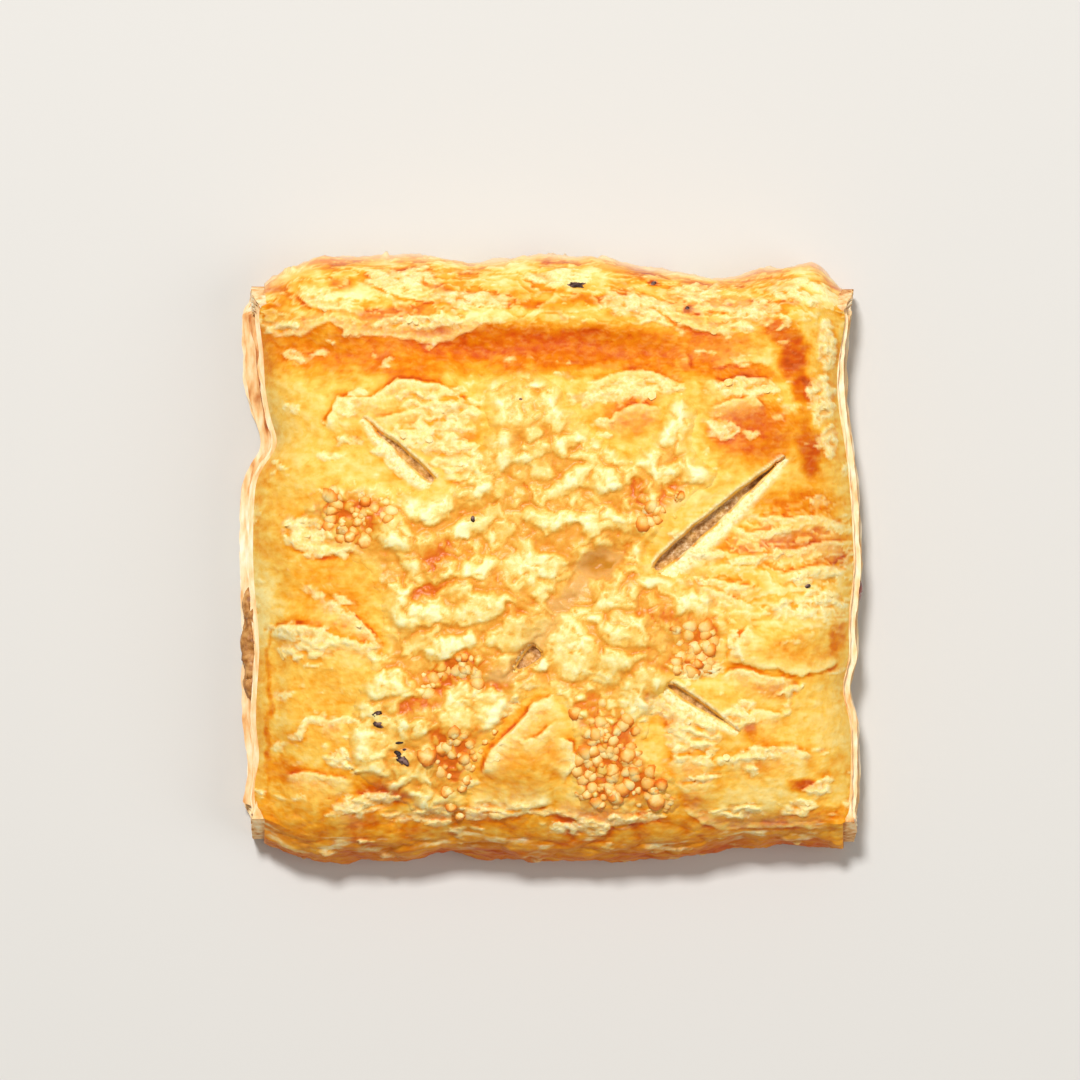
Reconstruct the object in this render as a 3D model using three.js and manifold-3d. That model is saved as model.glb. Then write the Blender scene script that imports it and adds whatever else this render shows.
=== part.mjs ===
// A savoury puff-pastry turnover: a square of laminated dough folded round a flat filling, slashed
// with a cross on top and baked under grated cheese. The folds run along X, at the front (-Y) and the
// back (+Y), and the two cut ends face -X and +X, where the top and bottom sheets of dough part.
// Millimetres, +Z up, origin under the middle of the pastry on the surface that it lies on.

import * as THREE from "three";
import { mergeVertices } from "three/addons/utils/BufferGeometryUtils.js";
import Module from "manifold-3d";

const wasm = await Module();
wasm.setup();

// ---- Driving dimensions ----
const WIDTH = 114.4; // between the cut ends
const DEPTH = 111.6; // between the folds
const CROWN = 25; // highest general level of the dome over the filling
const CUT_RIM = 12.6; // where the top sheet's upper skin ends, at the cut ends
const FOLD_RIM = 15.4; // where the folds' round walls end, at the front and back
const GAP = 0.35; // between pieces that touch
const CHEESE = { edge: 0.5, inside: 1.7, slope: 5 }; // thickness at its edge and, a slope away, inside it

const HALF_X = WIDTH / 2;
const HALF_Y = DEPTH / 2;

// ---- Resolution ----
const CELLS = 38; // of the top's grid, each way
const LEVELS = 10; // of the side walls, from the base to the rim
const CAVITY_STATIONS = 14;
const CAVITY_SIDES = 24;
const CHEESE_OUTLINE_STEPS = 112;

// ---- Outline: each side is straight, but for these dents and bulges ----
// at: where along the side, push: outwards in mm, spread: half-width.
const LEFT_EDGE = [
  { at: 21, push: -3.2, spread: 4.5 },
  { at: 27, push: -1.2, spread: 5 },
  { at: 2, push: 0.5, spread: 12 },
  { at: -38, push: -1.0, spread: 5 },
];
const RIGHT_EDGE = [
  { at: 34, push: -2.1, spread: 15 },
  { at: -24, push: -1.6, spread: 5 },
  { at: 0, push: 0.3, spread: 6 },
];
const FRONT_EDGE = [
  { at: -54, push: -2.2, spread: 6 },
  { at: -18, push: -1.4, spread: 6 },
  { at: 38, push: -2.6, spread: 11 },
  { at: 51, push: -1.6, spread: 7 },
];
const BACK_EDGE = [
  { at: -55, push: -4.2, spread: 8 },
  { at: -15, push: -1.1, spread: 5 },
  { at: 30, push: -3.8, spread: 15 },
  { at: 56, push: -5.0, spread: 5 },
];
// The top sheet shrank back from the bottom one, most of all here.
const LEFT_SHRINK = [
  { at: 30, push: 2.4, spread: 14 },
  { at: -42, push: -0.5, spread: 8 },
];
const RIGHT_SHRINK = [
  { at: 30, push: 0.6, spread: 12 },
  { at: -12, push: 0.7, spread: 6 },
];

const sideWave = (features, t) =>
  features.reduce((sum, f) => sum + f.push * Math.exp(-(((t - f.at) / f.spread) ** 2)), 0);

// ---- Side walls: one [height, inset] for each level ----
// Two plies in each sheet, and the parting line of the two sheets at level 5.
const CUT_END = [
  [0, 1.7],
  [0.8, 0.3],
  [2.0, 0.9],
  [3.2, 0.0],
  [4.6, 0.8],
  [5.6, 2.8],
  [6.6, 1.6],
  [8.0, 1.1],
  [9.4, 2.0],
  [11.0, 1.7],
  [CUT_RIM, 3.1],
];
const PARTING_LEVEL = 5;

// A fold's wall is an arc of an ellipse, from under the fold up to its shoulder. Angles are in degrees.
const BACK_FOLD = { reach: 12, middle: 6, from: -36, to: 58 };
const FRONT_FOLD = { reach: 19, middle: 3, from: -12, to: 52 };
const foldWall = (level, { reach, middle, from, to }) => {
  const turn = THREE.MathUtils.degToRad(from + ((to - from) * level) / LEVELS);
  const rise = (FOLD_RIM - middle) / Math.sin(THREE.MathUtils.degToRad(to));
  return [level === 0 ? 0 : middle + rise * Math.sin(turn), reach * (1 - Math.cos(turn))];
};

// ---- Relief of the top: round bumps and dips. turn is in degrees, from +X towards +Y ----
const TOP_FORMS = [
  { name: "roll along the back fold", x: -8, y: 46.5, long: 40, wide: 5, turn: 0, lift: 2.2 },
  { name: "valley in front of the roll", x: -14, y: 38, long: 36, wide: 4, turn: 1, lift: -2.2 },
  { name: "valley's right end", x: 26, y: 36, long: 14, wide: 3, turn: -9, lift: -1.5 },
  { name: "blister at the back right corner", x: 45, y: 46, long: 7, wide: 6, turn: 0, lift: 1.8 },
  { name: "groove beside the left rim", x: -50.5, y: -26, long: 2, wide: 20, turn: 0, lift: -1.4 },
  { name: "sag where the slashes cross", x: 8.6, y: -1.3, long: 5.5, wide: 3.2, turn: 28, lift: -2.8 },
  { name: "sag along the lower slash", x: -1.5, y: -15, long: 13, wide: 2.4, turn: 47, lift: -2.2 },
  { name: "lip behind the open slash", x: 28, y: 12.5, long: 14, wide: 3.4, turn: 40, lift: 1.3 },
  { name: "sunk lip before the open slash", x: 35, y: 6, long: 14, wide: 3, turn: 40, lift: -0.8 },
  { name: "lip of the upper left slash", x: -25, y: 23, long: 9, wide: 3, turn: -41, lift: 0.9 },
  { name: "lip of the lower right slash", x: 29, y: -24, long: 8, wide: 2.6, turn: -32, lift: 0.7 },
  { name: "bare tongue at the front", x: -4, y: -36, long: 8, wide: 9, turn: 0, lift: 1.2 },
  { name: "heap of cheese at the back", x: -3, y: 24, long: 8, wide: 9, turn: 0, lift: 0.9 },
  { name: "heap of cheese on the right", x: 17, y: -13, long: 9, wide: 8, turn: 0, lift: 1.0 },
  { name: "heap of cheese on the left", x: -16, y: -8, long: 10, wide: 8, turn: 0, lift: 0.9 },
  { name: "step of a torn skin, right", x: 44, y: -14, long: 10, wide: 3, turn: 10, lift: 0.7 },
  { name: "step of a torn skin, left", x: -43, y: -12, long: 9, wide: 3, turn: -14, lift: 0.7 },
];

function formHeight({ x: cx, y: cy, long, wide, turn, lift }, x, y) {
  const a = THREE.MathUtils.degToRad(turn);
  const along = (x - cx) * Math.cos(a) + (y - cy) * Math.sin(a);
  const across = (y - cy) * Math.cos(a) - (x - cx) * Math.sin(a);
  return lift * Math.exp(-((along / long) ** 2) - (across / wide) ** 2);
}

// The crust's gentle unevenness, and the crags of the melted cheese.
const crustRipple = (x, y) =>
  0.35 * Math.sin(x / 4.3 + 1.2) * Math.cos(y / 5.1 - 0.4) + 0.25 * Math.sin((x + 1.7 * y) / 4.1);
const cheeseLumps = (x, y) =>
  0.5 * Math.sin(x / 1.9 + Math.cos(y / 3.1)) * Math.sin(y / 2.2 + Math.sin(x / 2.7)) +
  0.3 * Math.cos((x - y) / 1.6);

// ---- Slashes: pointed slots through the top sheet, from tip to tip ----
const SLASHES = [
  { from: [-34.0, 25.5], to: [-20.6, 13.8], open: 1.3 },
  { from: [42.5, 18.3], to: [19.8, -1.1], open: 3.0 },
  { from: [22.0, -23.4], to: [34.0, -31.0], open: 1.1 },
  { from: [-1.4, -16.2], to: [-5.8, -20.8], open: 2.6 },
];

// ---- Outline of the melted cheese ----
const CHEESE_OUTLINE = [
  [-13.5, 31.3], [-7.2, 34.4], [-2.3, 34.1], [2.0, 31.0], [5.9, 22.8], [14.4, 16.3], [20.5, 22.8],
  [23.4, 29.0], [26.8, 25.4], [26.0, 19.4], [30.2, 15.6], [25.0, 9.6], [18.4, 2.6], [20.5, -2.0],
  [27.6, -2.6], [32.6, -10.0], [32.1, -17.8], [28.0, -22.2], [21.6, -23.0], [17.6, -33.0], [22.5, -40.1],
  [23.4, -45.0], [14.4, -46.2], [6.0, -46.4], [3.2, -40.0], [3.5, -31.7], [-0.6, -25.2], [-5.7, -26.3],
  [-11.9, -35.7], [-15.0, -44.0], [-18.4, -45.6], [-25.0, -46.2], [-36.0, -38.5], [-37.2, -31.0],
  [-33.6, -20.1], [-30.4, -11.0], [-34.0, -3.0], [-43.0, 4.0], [-45.0, 10.1], [-38.0, 14.8],
  [-22.8, 12.4], [-17.0, 15.6], [-11.8, 24.0],
];

// ---- Filling: a flat pad through the pastry, which has boiled out at both cut ends ----
const FILLING = { length: 100, width: 93, bottom: 5.6, top: 18.6, taper: 6, endHeight: 0.8 };
const FILLING_ROUNDNESS = 0.6; // of its section: 1 is an ellipse, 0 a box
const PARTING_SLOT = { width: 92, height: 1.3 }; // between the sheets at the cut ends
const LEAKS = [
  { x: -53, y: -17, z: 5.4, radii: [4.2, 9, 2.8] },
  { x: 53, y: -5.5, z: 5.6, radii: [3.9, 3.6, 2.2] },
];

// ---- The crust's surfaces, over u and v from -1 to 1 ----
const EDGE_POWER = 8; // how close to an edge its dents and its inset stay
const CORNER_POWER = 14; // how quickly a cut end turns into a fold at the corners
const DOME_POWER = { u: 7, v: 4 }; // how flat the dome stays before it falls to the rim
const RELIEF_FADE = 8; // the relief fades out over one part in this many, at the rim

const closeTo = (share) => Math.sign(share) * Math.abs(share) ** EDGE_POWER;
// 0 at the cut ends and 1 at the folds.
const foldShare = (u, v) => {
  const [a, b] = [Math.abs(u) ** CORNER_POWER, Math.abs(v) ** CORNER_POWER];
  return b / (a + b + Number.EPSILON);
};
const shrinkAt = (u, y) => Math.max(0, sideWave(u < 0 ? LEFT_SHRINK : RIGHT_SHRINK, y));

// A point of the walls or of the top: level LEVELS is the rim and all inside it.
function crustPoint(u, v, level) {
  const [x0, y0] = [u * HALF_X, v * HALF_Y];
  const [cutHeight, cutInset] = CUT_END[level];
  const [foldHeight, foldInset] = foldWall(level, v < 0 ? FRONT_FOLD : BACK_FOLD);
  const shrink = level > PARTING_LEVEL ? shrinkAt(u, y0) : 0;
  const pushX = sideWave(u < 0 ? LEFT_EDGE : RIGHT_EDGE, y0) - cutInset - shrink;
  const pushY = sideWave(v < 0 ? FRONT_EDGE : BACK_EDGE, x0) - foldInset;
  const fold = foldShare(u, v);
  return new THREE.Vector3(
    x0 + closeTo(u) * pushX,
    y0 + closeTo(v) * pushY,
    THREE.MathUtils.lerp(cutHeight, foldHeight, fold),
  );
}

function topPoint(u, v) {
  const p = crustPoint(u, v, LEVELS);
  const dome = (1 - Math.abs(u) ** DOME_POWER.u) * (1 - Math.abs(v) ** DOME_POWER.v);
  const rim = p.z;
  const relief =
    TOP_FORMS.reduce((sum, form) => sum + formHeight(form, p.x, p.y), 0) + crustRipple(p.x, p.y);
  const fade = Math.min(1, RELIEF_FADE * (1 - Math.max(Math.abs(u), Math.abs(v))));
  p.z = rim + (CROWN - rim) * dome + relief * fade;
  return p;
}

// ---- Building closed meshes ----
function geometryOf(points, triangles) {
  const geometry = new THREE.BufferGeometry().setFromPoints(points);
  geometry.setIndex(triangles);
  return geometry;
}

// Two triangles for each cell of a grid of rows by columns, facing the way that the rows turn.
function gridTriangles(rows, columns, vertex, wrap = false) {
  const triangles = [];
  for (let i = 0; i < rows; i++)
    for (let j = 0; j < columns; j++) {
      const next = wrap ? (j + 1) % columns : j + 1;
      const [a, b, c, d] = [vertex(i, j), vertex(i, next), vertex(i + 1, next), vertex(i + 1, j)];
      triangles.push(a, b, c, a, c, d);
    }
  return triangles;
}

const gridShare = (i) => (2 * i) / CELLS - 1;

// The grid's border, counter-clockwise from the front left corner, as [column, row].
function borderCells() {
  const border = [];
  for (let i = 0; i < CELLS; i++) border.push([i, 0]);
  for (let j = 0; j < CELLS; j++) border.push([CELLS, j]);
  for (let i = CELLS; i > 0; i--) border.push([i, CELLS]);
  for (let j = CELLS; j > 0; j--) border.push([0, j]);
  return border;
}

// The dough's whole outside, before anything is cut out of it.
function crustBody() {
  const points = [];
  for (let j = 0; j <= CELLS; j++)
    for (let i = 0; i <= CELLS; i++) points.push(topPoint(gridShare(i), gridShare(j)));
  const top = (j, i) => j * (CELLS + 1) + i;
  const triangles = gridTriangles(CELLS, CELLS, top);
  const border = borderCells();
  const rings = [];
  for (let level = 0; level < LEVELS; level++) {
    rings.push(border.map((_, k) => points.length + k));
    for (const [i, j] of border) points.push(crustPoint(gridShare(i), gridShare(j), level));
  }
  rings.push(border.map(([i, j]) => top(j, i)));
  triangles.push(...gridTriangles(LEVELS, border.length, (level, k) => rings[level][k], true));
  const underneath = points.push(new THREE.Vector3(0, 0, 0)) - 1;
  rings[0].forEach((a, k) => triangles.push(a, underneath, rings[0][(k + 1) % border.length]));
  return geometryOf(points, triangles);
}

// A tube along X whose section is a rounded box, closed at both ends.
function padAlongX(halfLength, sectionAt) {
  const points = [];
  for (let s = 0; s <= CAVITY_STATIONS; s++) {
    const x = halfLength * Math.sin(((s / CAVITY_STATIONS) * 2 - 1) * (Math.PI / 2));
    const { halfWidth, halfHeight, middle } = sectionAt(x);
    for (let k = 0; k < CAVITY_SIDES; k++) {
      const turn = (k / CAVITY_SIDES) * 2 * Math.PI;
      const boxed = (value) => Math.sign(value) * Math.abs(value) ** FILLING_ROUNDNESS;
      const y = halfWidth * boxed(Math.cos(turn));
      points.push(new THREE.Vector3(x, y, middle + halfHeight * boxed(Math.sin(turn))));
    }
  }
  const at = (s, k) => s * CAVITY_SIDES + k;
  const triangles = gridTriangles(CAVITY_STATIONS, CAVITY_SIDES, at, true);
  const start = points.push(new THREE.Vector3(-halfLength, 0, sectionAt(-halfLength).middle)) - 1;
  const end = points.push(new THREE.Vector3(halfLength, 0, sectionAt(halfLength).middle)) - 1;
  for (let k = 0; k < CAVITY_SIDES; k++) {
    const next = (k + 1) % CAVITY_SIDES;
    triangles.push(start, at(0, next), at(0, k), end, at(CAVITY_STATIONS, k), at(CAVITY_STATIONS, next));
  }
  return geometryOf(points, triangles);
}

const PARTING_HEIGHT = CUT_END[PARTING_LEVEL][0];
const FILLING_MIDDLE = (FILLING.bottom + FILLING.top) / 2;

// The filling's section at x, with clear added all round it.
function fillingSection(x, clear) {
  const share = Math.min(1, Math.abs(x) / (FILLING.length / 2 + clear));
  const full = 1 - share ** 4;
  return {
    halfWidth: FILLING.width / 2 - FILLING.taper * (1 - full) + clear,
    halfHeight: THREE.MathUtils.lerp(FILLING.endHeight, FILLING.top - FILLING.bottom, full) / 2 + clear,
    middle: THREE.MathUtils.lerp(PARTING_HEIGHT, FILLING_MIDDLE, full),
  };
}

const leakGeometry = ({ x, y, z, radii }, clear) => {
  const geometry = new THREE.SphereGeometry(1, 20, 12);
  geometry.scale(...radii.map((r) => r + clear));
  return geometry.translate(x, y, z);
};

const slotBetweenSheets = () =>
  new THREE.BoxGeometry(WIDTH + 10, PARTING_SLOT.width, PARTING_SLOT.height).translate(0, 0, PARTING_HEIGHT);

function slashGeometry({ from, to, open }) {
  const [a, b] = [new THREE.Vector2(...from), new THREE.Vector2(...to)];
  const along = b.clone().sub(a);
  const across = new THREE.Vector2(-along.y, along.x).normalize().multiplyScalar(open);
  const middle = a.clone().lerp(b, 0.5);
  const shape = new THREE.Shape();
  shape.moveTo(a.x, a.y);
  shape.quadraticCurveTo(middle.x - across.x, middle.y - across.y, b.x, b.y);
  shape.quadraticCurveTo(middle.x + across.x, middle.y + across.y, a.x, a.y);
  const extrusion = { depth: CROWN, bevelEnabled: false, curveSegments: 5 };
  return new THREE.ExtrudeGeometry(shape, extrusion).translate(0, 0, FILLING_MIDDLE);
}

// A blanket over the crust's top, from GAP above it up to the cheese's crags.
function cheeseBlanket() {
  const outline = cheeseOutline();
  const points = [];
  for (const upper of [false, true])
    for (let j = 0; j <= CELLS; j++)
      for (let i = 0; i <= CELLS; i++) {
        const p = topPoint(gridShare(i), gridShare(j));
        const depth = depthInside(outline, p.x, p.y);
        const share = THREE.MathUtils.smoothstep(depth, 0, CHEESE.slope);
        const thickness = THREE.MathUtils.lerp(CHEESE.edge, CHEESE.inside + cheeseLumps(p.x, p.y), share);
        p.z += GAP + (upper ? thickness : 0);
        points.push(p);
      }
  const side = CELLS + 1;
  const upper = (j, i) => side * side + j * side + i;
  const lower = (j, i) => j * side + i;
  const border = borderCells();
  const triangles = [
    ...gridTriangles(CELLS, CELLS, upper),
    ...gridTriangles(CELLS, CELLS, (j, i) => lower(i, j)),
    ...gridTriangles(1, border.length, (row, k) => (row ? upper : lower)(border[k][1], border[k][0]), true),
  ];
  return geometryOf(points, triangles);
}

const cheeseOutline = () =>
  new THREE.SplineCurve([...CHEESE_OUTLINE, CHEESE_OUTLINE[0]].map(([x, y]) => new THREE.Vector2(x, y)))
    .getSpacedPoints(CHEESE_OUTLINE_STEPS)
    .slice(0, -1);

// How far a point lies inside a closed outline, or 0 outside it.
function depthInside(outline, x, y) {
  let inside = false;
  let nearest = Infinity;
  outline.forEach((a, k) => {
    const b = outline[(k + 1) % outline.length];
    if (a.y > y !== b.y > y && x < a.x + ((y - a.y) * (b.x - a.x)) / (b.y - a.y)) inside = !inside;
    nearest = Math.min(nearest, Math.hypot(a.x - x, a.y - y));
  });
  return inside ? nearest : 0;
}

function cheeseCutter() {
  const shape = new THREE.Shape(cheeseOutline());
  return new THREE.ExtrudeGeometry(shape, { depth: 2 * CROWN, bevelEnabled: false });
}

// ---- Between three.js geometries and manifold-3d solids ----
function solid(geometry) {
  const bare = new THREE.BufferGeometry().setAttribute("position", geometry.getAttribute("position"));
  if (geometry.index) bare.setIndex(geometry.index);
  const merged = mergeVertices(bare, 1e-4);
  const mesh = new wasm.Mesh({
    numProp: 3,
    vertProperties: merged.attributes.position.array,
    triVerts: new Uint32Array(merged.index.array),
  });
  return new wasm.Manifold(mesh);
}

function geometryFrom(manifold) {
  const { numProp, vertProperties, triVerts } = manifold.getMesh();
  const vertices = new THREE.InterleavedBuffer(vertProperties, numProp);
  const geometry = new THREE.BufferGeometry();
  geometry.setAttribute("position", new THREE.InterleavedBufferAttribute(vertices, 3, 0));
  geometry.setIndex([...triVerts]);
  return geometry;
}

// A cut can free a few scraps: only the largest body is kept.
const largestBody = (manifold) =>
  manifold.decompose().reduce((best, body) => (body.volume() > best.volume() ? body : best));

// ---- The pieces ----
const slashes = SLASHES.map((slash) => solid(slashGeometry(slash)));

let crustSolid = solid(crustBody())
  .subtract(solid(padAlongX(FILLING.length / 2 + GAP, (x) => fillingSection(x, GAP))))
  .subtract(solid(slotBetweenSheets()));
for (const leak of LEAKS) crustSolid = crustSolid.subtract(solid(leakGeometry(leak, GAP)));
for (const slash of slashes) crustSolid = crustSolid.subtract(slash);

let fillingSolid = solid(padAlongX(FILLING.length / 2, (x) => fillingSection(x, 0)));
for (const leak of LEAKS) fillingSolid = fillingSolid.add(solid(leakGeometry(leak, 0)));

let cheeseSolid = solid(cheeseBlanket()).intersect(solid(cheeseCutter()));
for (const slash of slashes) cheeseSolid = cheeseSolid.subtract(slash);

function piece(name, manifold, color, roughness) {
  const material = new THREE.MeshStandardMaterial({ color, roughness, metalness: 0, flatShading: true });
  const mesh = new THREE.Mesh(geometryFrom(largestBody(manifold)), material);
  mesh.name = name;
  return mesh;
}

const turnover = new THREE.Group();
turnover.add(
  piece("pastry_crust", crustSolid, 0xe9a548, 0.55),
  piece("filling", fillingSolid, 0x9a7048, 0.7),
  piece("melted_cheese", cheeseSolid, 0xf6c75a, 0.4),
);

export default turnover;
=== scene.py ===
"""A savoury turnover of puff pastry under melted cheese: its crust, plies, filling, cheese and crumbs.

The shapes are worked out in millimetres with numpy, over the frame's solids, and made in metres.
+X runs between the cut ends, +Y to the back fold and +Z up.
"""

import bpy
import numpy as np
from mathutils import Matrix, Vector
from mathutils.bvhtree import BVHTree

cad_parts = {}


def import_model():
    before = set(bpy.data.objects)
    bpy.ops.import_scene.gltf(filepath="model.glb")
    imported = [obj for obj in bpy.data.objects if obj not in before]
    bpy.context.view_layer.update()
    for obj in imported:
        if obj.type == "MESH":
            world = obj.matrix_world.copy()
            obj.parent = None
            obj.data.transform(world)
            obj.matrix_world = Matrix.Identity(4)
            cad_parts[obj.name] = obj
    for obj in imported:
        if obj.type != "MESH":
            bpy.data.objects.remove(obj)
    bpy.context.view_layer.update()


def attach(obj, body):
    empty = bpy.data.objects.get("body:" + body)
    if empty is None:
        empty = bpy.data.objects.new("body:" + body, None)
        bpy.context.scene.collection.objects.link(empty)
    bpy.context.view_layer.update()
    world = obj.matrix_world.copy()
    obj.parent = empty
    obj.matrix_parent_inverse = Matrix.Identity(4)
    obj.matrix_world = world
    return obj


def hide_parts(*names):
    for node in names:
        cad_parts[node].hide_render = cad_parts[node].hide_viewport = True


MM = 0.001  # in metres, which the scene is in

# ---- Sizes of the pastry, in mm ----
HALF_X = 57.2  # from the middle to a cut end
HALF_Y = 55.8  # from the middle to a fold
CROWN = 25
CUT_RIM = 12.6  # height of the top skin's edge at the cut ends
FOLD_RIM = 15.4  # height where a fold's round wall turns into the top
PARTING = 5.6  # height of the gap between the two sheets at the cut ends
ROOF = 6  # thickness of the top sheet
FLOOR = 5.2  # and of the bottom sheet

# Dents and bulges of each side, as (where along it, outward push, spread).
LEFT_EDGE = [(21, -3.2, 4.5), (27, -1.2, 5), (2, 0.5, 12), (-38, -1, 5)]
RIGHT_EDGE = [(34, -2.1, 15), (-24, -1.6, 5), (0, 0.3, 6)]
FRONT_EDGE = [(-54, -2.2, 6), (-18, -1.4, 6), (38, -2.6, 11), (51, -1.6, 7)]
BACK_EDGE = [(-55, -4.2, 8), (-15, -1.1, 5), (30, -3.8, 15), (56, -5, 5)]
LEFT_SHRINK = [(36, 1.5, 12), (-16, 0.7, 8), (-42, -0.5, 8)]  # of the top sheet, back from the bottom one
RIGHT_SHRINK = [(0, -1.2, 90), (30, 0.5, 12), (-12, 0.6, 6)]

# A cut end from the base to the rim, as heights and insets.
CUT_HEIGHTS = [0, 0.8, 2, 3.2, 4.6, 5.6, 6.6, 8, 9.4, 11, CUT_RIM]
CUT_INSETS = [1.7, 0.3, 0.9, 0, 0.8, 2.8, 1.6, 1.1, 2, 1.7, 3.1]
# A fold's wall is an arc: (reach, height of its middle, first angle, last angle).
BACK_FOLD = (12, 6, -36, 48)
FRONT_FOLD = (19, 3, -12, 42)

# Round bumps and dips of the top, as (x, y, half-length, half-width, turn in degrees, lift).
TOP_FORMS = [
    (-8, 46.5, 40, 5, 0, 2.2),  # roll along the back fold
    (-14, 38, 36, 4, 1, -2.2),  # valley in front of the roll
    (26, 36, 14, 3, -9, -1.5),
    (45, 46, 7, 6, 0, 1.8),  # blister at the back right corner
    (-50.5, -26, 2, 20, 0, -1.4),  # groove beside the left rim
    (8.8, -1, 4.4, 2.5, 30, -2.8),  # sag where the slashes cross
    (-1.5, -13, 12, 1.6, 47, -0.6),
    (28, 12.5, 14, 3.4, 40, 1.3),  # lips of the slashes
    (35, 6, 14, 3, 40, -0.8),
    (-25, 23, 9, 3, -41, 0.9),
    (29, -24, 8, 2.6, -32, 0.7),
    (-4, -36, 8, 9, 0, 1.2),  # bare tongue at the front
    (-3, 24, 8, 9, 0, 0.9),  # heaps under the cheese
    (17, -13, 9, 8, 0, 1),
    (-16, -8, 10, 8, 0, 0.9),
    (44, -14, 10, 3, 10, 0.7),
    (-43, -12, 9, 3, -14, 0.7),
]

# Plies that show at the cut ends: the size of each loop as a share of the end's outline.
PLY_SIZES = [0.92, 0.77, 0.62, 0.48, 0.34, 0.21, 0.08]
PLY_DEPTH = 2.6
PLY_THICKNESS = 0.42
PLY_STEPS = 150  # points along each straight run
PLY_TURN = 45  # where the runs begin to turn into the folds

# Slashes through the top sheet, from tip to blunt end: the width they stand open, the width of the torn slope
# on their left side, or on their right if it is negative, and their depth.
SLASHES = [
    ((-34.6, 26.2), (-21.2, 14), 2.6, -1.4, 2),
    ((43.4, 19.4), (18.8, -2), 3.5, 2.2, 2.3),
    ((34.8, -31.6), (21.2, -22.8), 2.3, 1.3, 2.1),
    ((-7, -20.6), (-2, -16.6), 3.8, 0.8, 2.2),
]

# Melted cheese: its outline, then its lumps, as (x, y, half-length, half-width, turn).
CHEESE_OUTLINE = [
    (-13.5, 31.3), (-7.2, 34.4), (-2.3, 34.1), (2, 31), (5.9, 24.8), (14.4, 19.3), (19.5, 24.8), (23.4, 31),
    (26.8, 26.4), (26, 20.4), (30.2, 15.6), (25, 9.6), (18.4, 2.6), (20.5, -2), (27.6, -2.6), (32.6, -10),
    (32.1, -17.8), (28, -22.2), (21.6, -23), (17.6, -33), (22.5, -40.1), (23.4, -46), (14.4, -46.8),
    (6, -46.6), (3.2, -40), (3.5, -31.7), (-0.6, -25.2), (-5.7, -26.3), (-11.9, -35.7), (-15, -45),
    (-18.4, -46.6), (-25, -46.2), (-36, -38.5), (-37.2, -31), (-33.6, -20.1), (-30.4, -11), (-34, -3),
    (-43, 4), (-45, 10.1), (-38, 14.8), (-22.8, 12.4), (-17, 15.6), (-11.8, 24),
]
CHEESE_LUMPS = [
    (-7, 34, 2.4, 1.3, 10), (-5.5, 27, 5.1, 3.5, 0), (0.5, 27, 2.7, 3.3, 0), (-9, 21.5, 2.5, 2.2, 20),
    (-28.5, 4.5, 2.8, 2.8, 0), (-22, 10, 3.8, 2.4, 0), (-13, -1.5, 3.6, 1.6, 15), (-4, -1, 4.5, 3.6, 0),
    (-23.5, -10, 5.5, 1.8, 0), (-27, -7.5, 1.3, 2.2, 0), (-12.5, -9, 5.8, 1.8, 15),
    (-7, -13.5, 3.6, 2.2, 25), (-18.5, -16, 4, 1.6, 12), (9.5, 22.5, 5.6, 2, -42),
    (23.5, 27.5, 2.5, 3.5, 0), (21, 24, 2.2, 2.2, 0), (16.5, 18.5, 4.4, 1.6, 0), (27, 16.5, 3.5, 2.4, 0),
    (20.5, 16, 2.5, 1.6, 0), (10, 14.5, 2.4, 2.2, 0), (3, 13.5, 4.4, 1.6, 35), (7, 6.5, 8, 1.8, 0),
    (-1, 7, 3.6, 1.8, -20), (11, -7.5, 2.5, 2.2, 0), (19, -4, 3.1, 1.3, 0), (25.5, -7.5, 3.3, 2, 0),
    (3, -15.5, 3.3, 4, 0), (13, -13, 4, 2.5, 0), (11.5, -18.5, 3.3, 1.6, 0), (-28.5, -23, 5.1, 2, 0),
    (-33, -34, 4.2, 3.3, 0), (-22.5, -35.5, 2.2, 2.2, 0), (-27, -30.5, 1.6, 1.3, 0),
    (-23.5, -30.5, 1.8, 1.3, 0), (-17, -28, 2.7, 4.4, 0), (-11, -28, 3.5, 2.4, 0),
    (16.5, -24.5, 5.1, 2.9, 25), (4.5, -17.5, 3.6, 3.6, 0), (-15.5, 5.5, 4.4, 1.5, 25),
    (-20, -2, 2.9, 1.3, 25),
]
# Where the oil has browned between the lumps.
CHEESE_PUDDLES = [
    (-37.5, 9, 6.2, 1.8, -20), (-20, 0, 2.5, 4.7, -30), (-22, -5.5, 3.6, 1.5, 20),
    (-17.5, -20.5, 4.4, 2.2, 20), (-24.5, -26.5, 4.4, 1.3, 18), (-16, -36, 4.6, 5.6, 40),
    (-34, -41.5, 4.7, 1.1, -42), (-28.5, -44, 2.5, 1.1, 0), (7.5, -41, 4.6, 5, 0), (11, -33.5, 5.6, 4.6, 0),
    (15.5, -39, 3.6, 4.6, 0), (22, -46.5, 1.8, 1.8, 0), (21.5, 5, 4.4, 1.6, 30), (16, 12, 1.8, 2.2, 0),
    (29, -15, 3, 3.6, 0), (25.5, -20, 4, 1.5, -10), (20, -10.5, 4.4, 1.5, -10), (-13.5, 30, 1.8, 1.5, 0),
    (-9, -23, 2.2, 1.5, 0), (19, -25.5, 1.1, 3.3, 20),
]
# Where it has run smooth.
CHEESE_SMOOTH = [
    (8.8, -1, 4, 2, 30), (-4, -16.5, 5, 0.8, 47), (-35, 0, 6, 3, 0), (2, 3.5, 4, 1.6, 20),
]
# Where it lies thin and dull over the crossing of the slashes.
CHEESE_MURK = [
    (8.6, -1.2, 4.2, 2.2, 30, 0.8), (10.4, -0.7, 2.6, 1, 25, 0.95), (3.5, -6.5, 5.5, 1.6, 47, 0.55),
    (-3, -15, 6, 1.8, 47, 0.45), (-8.5, -20.5, 3, 1.6, 30, 0.5),
]
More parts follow.
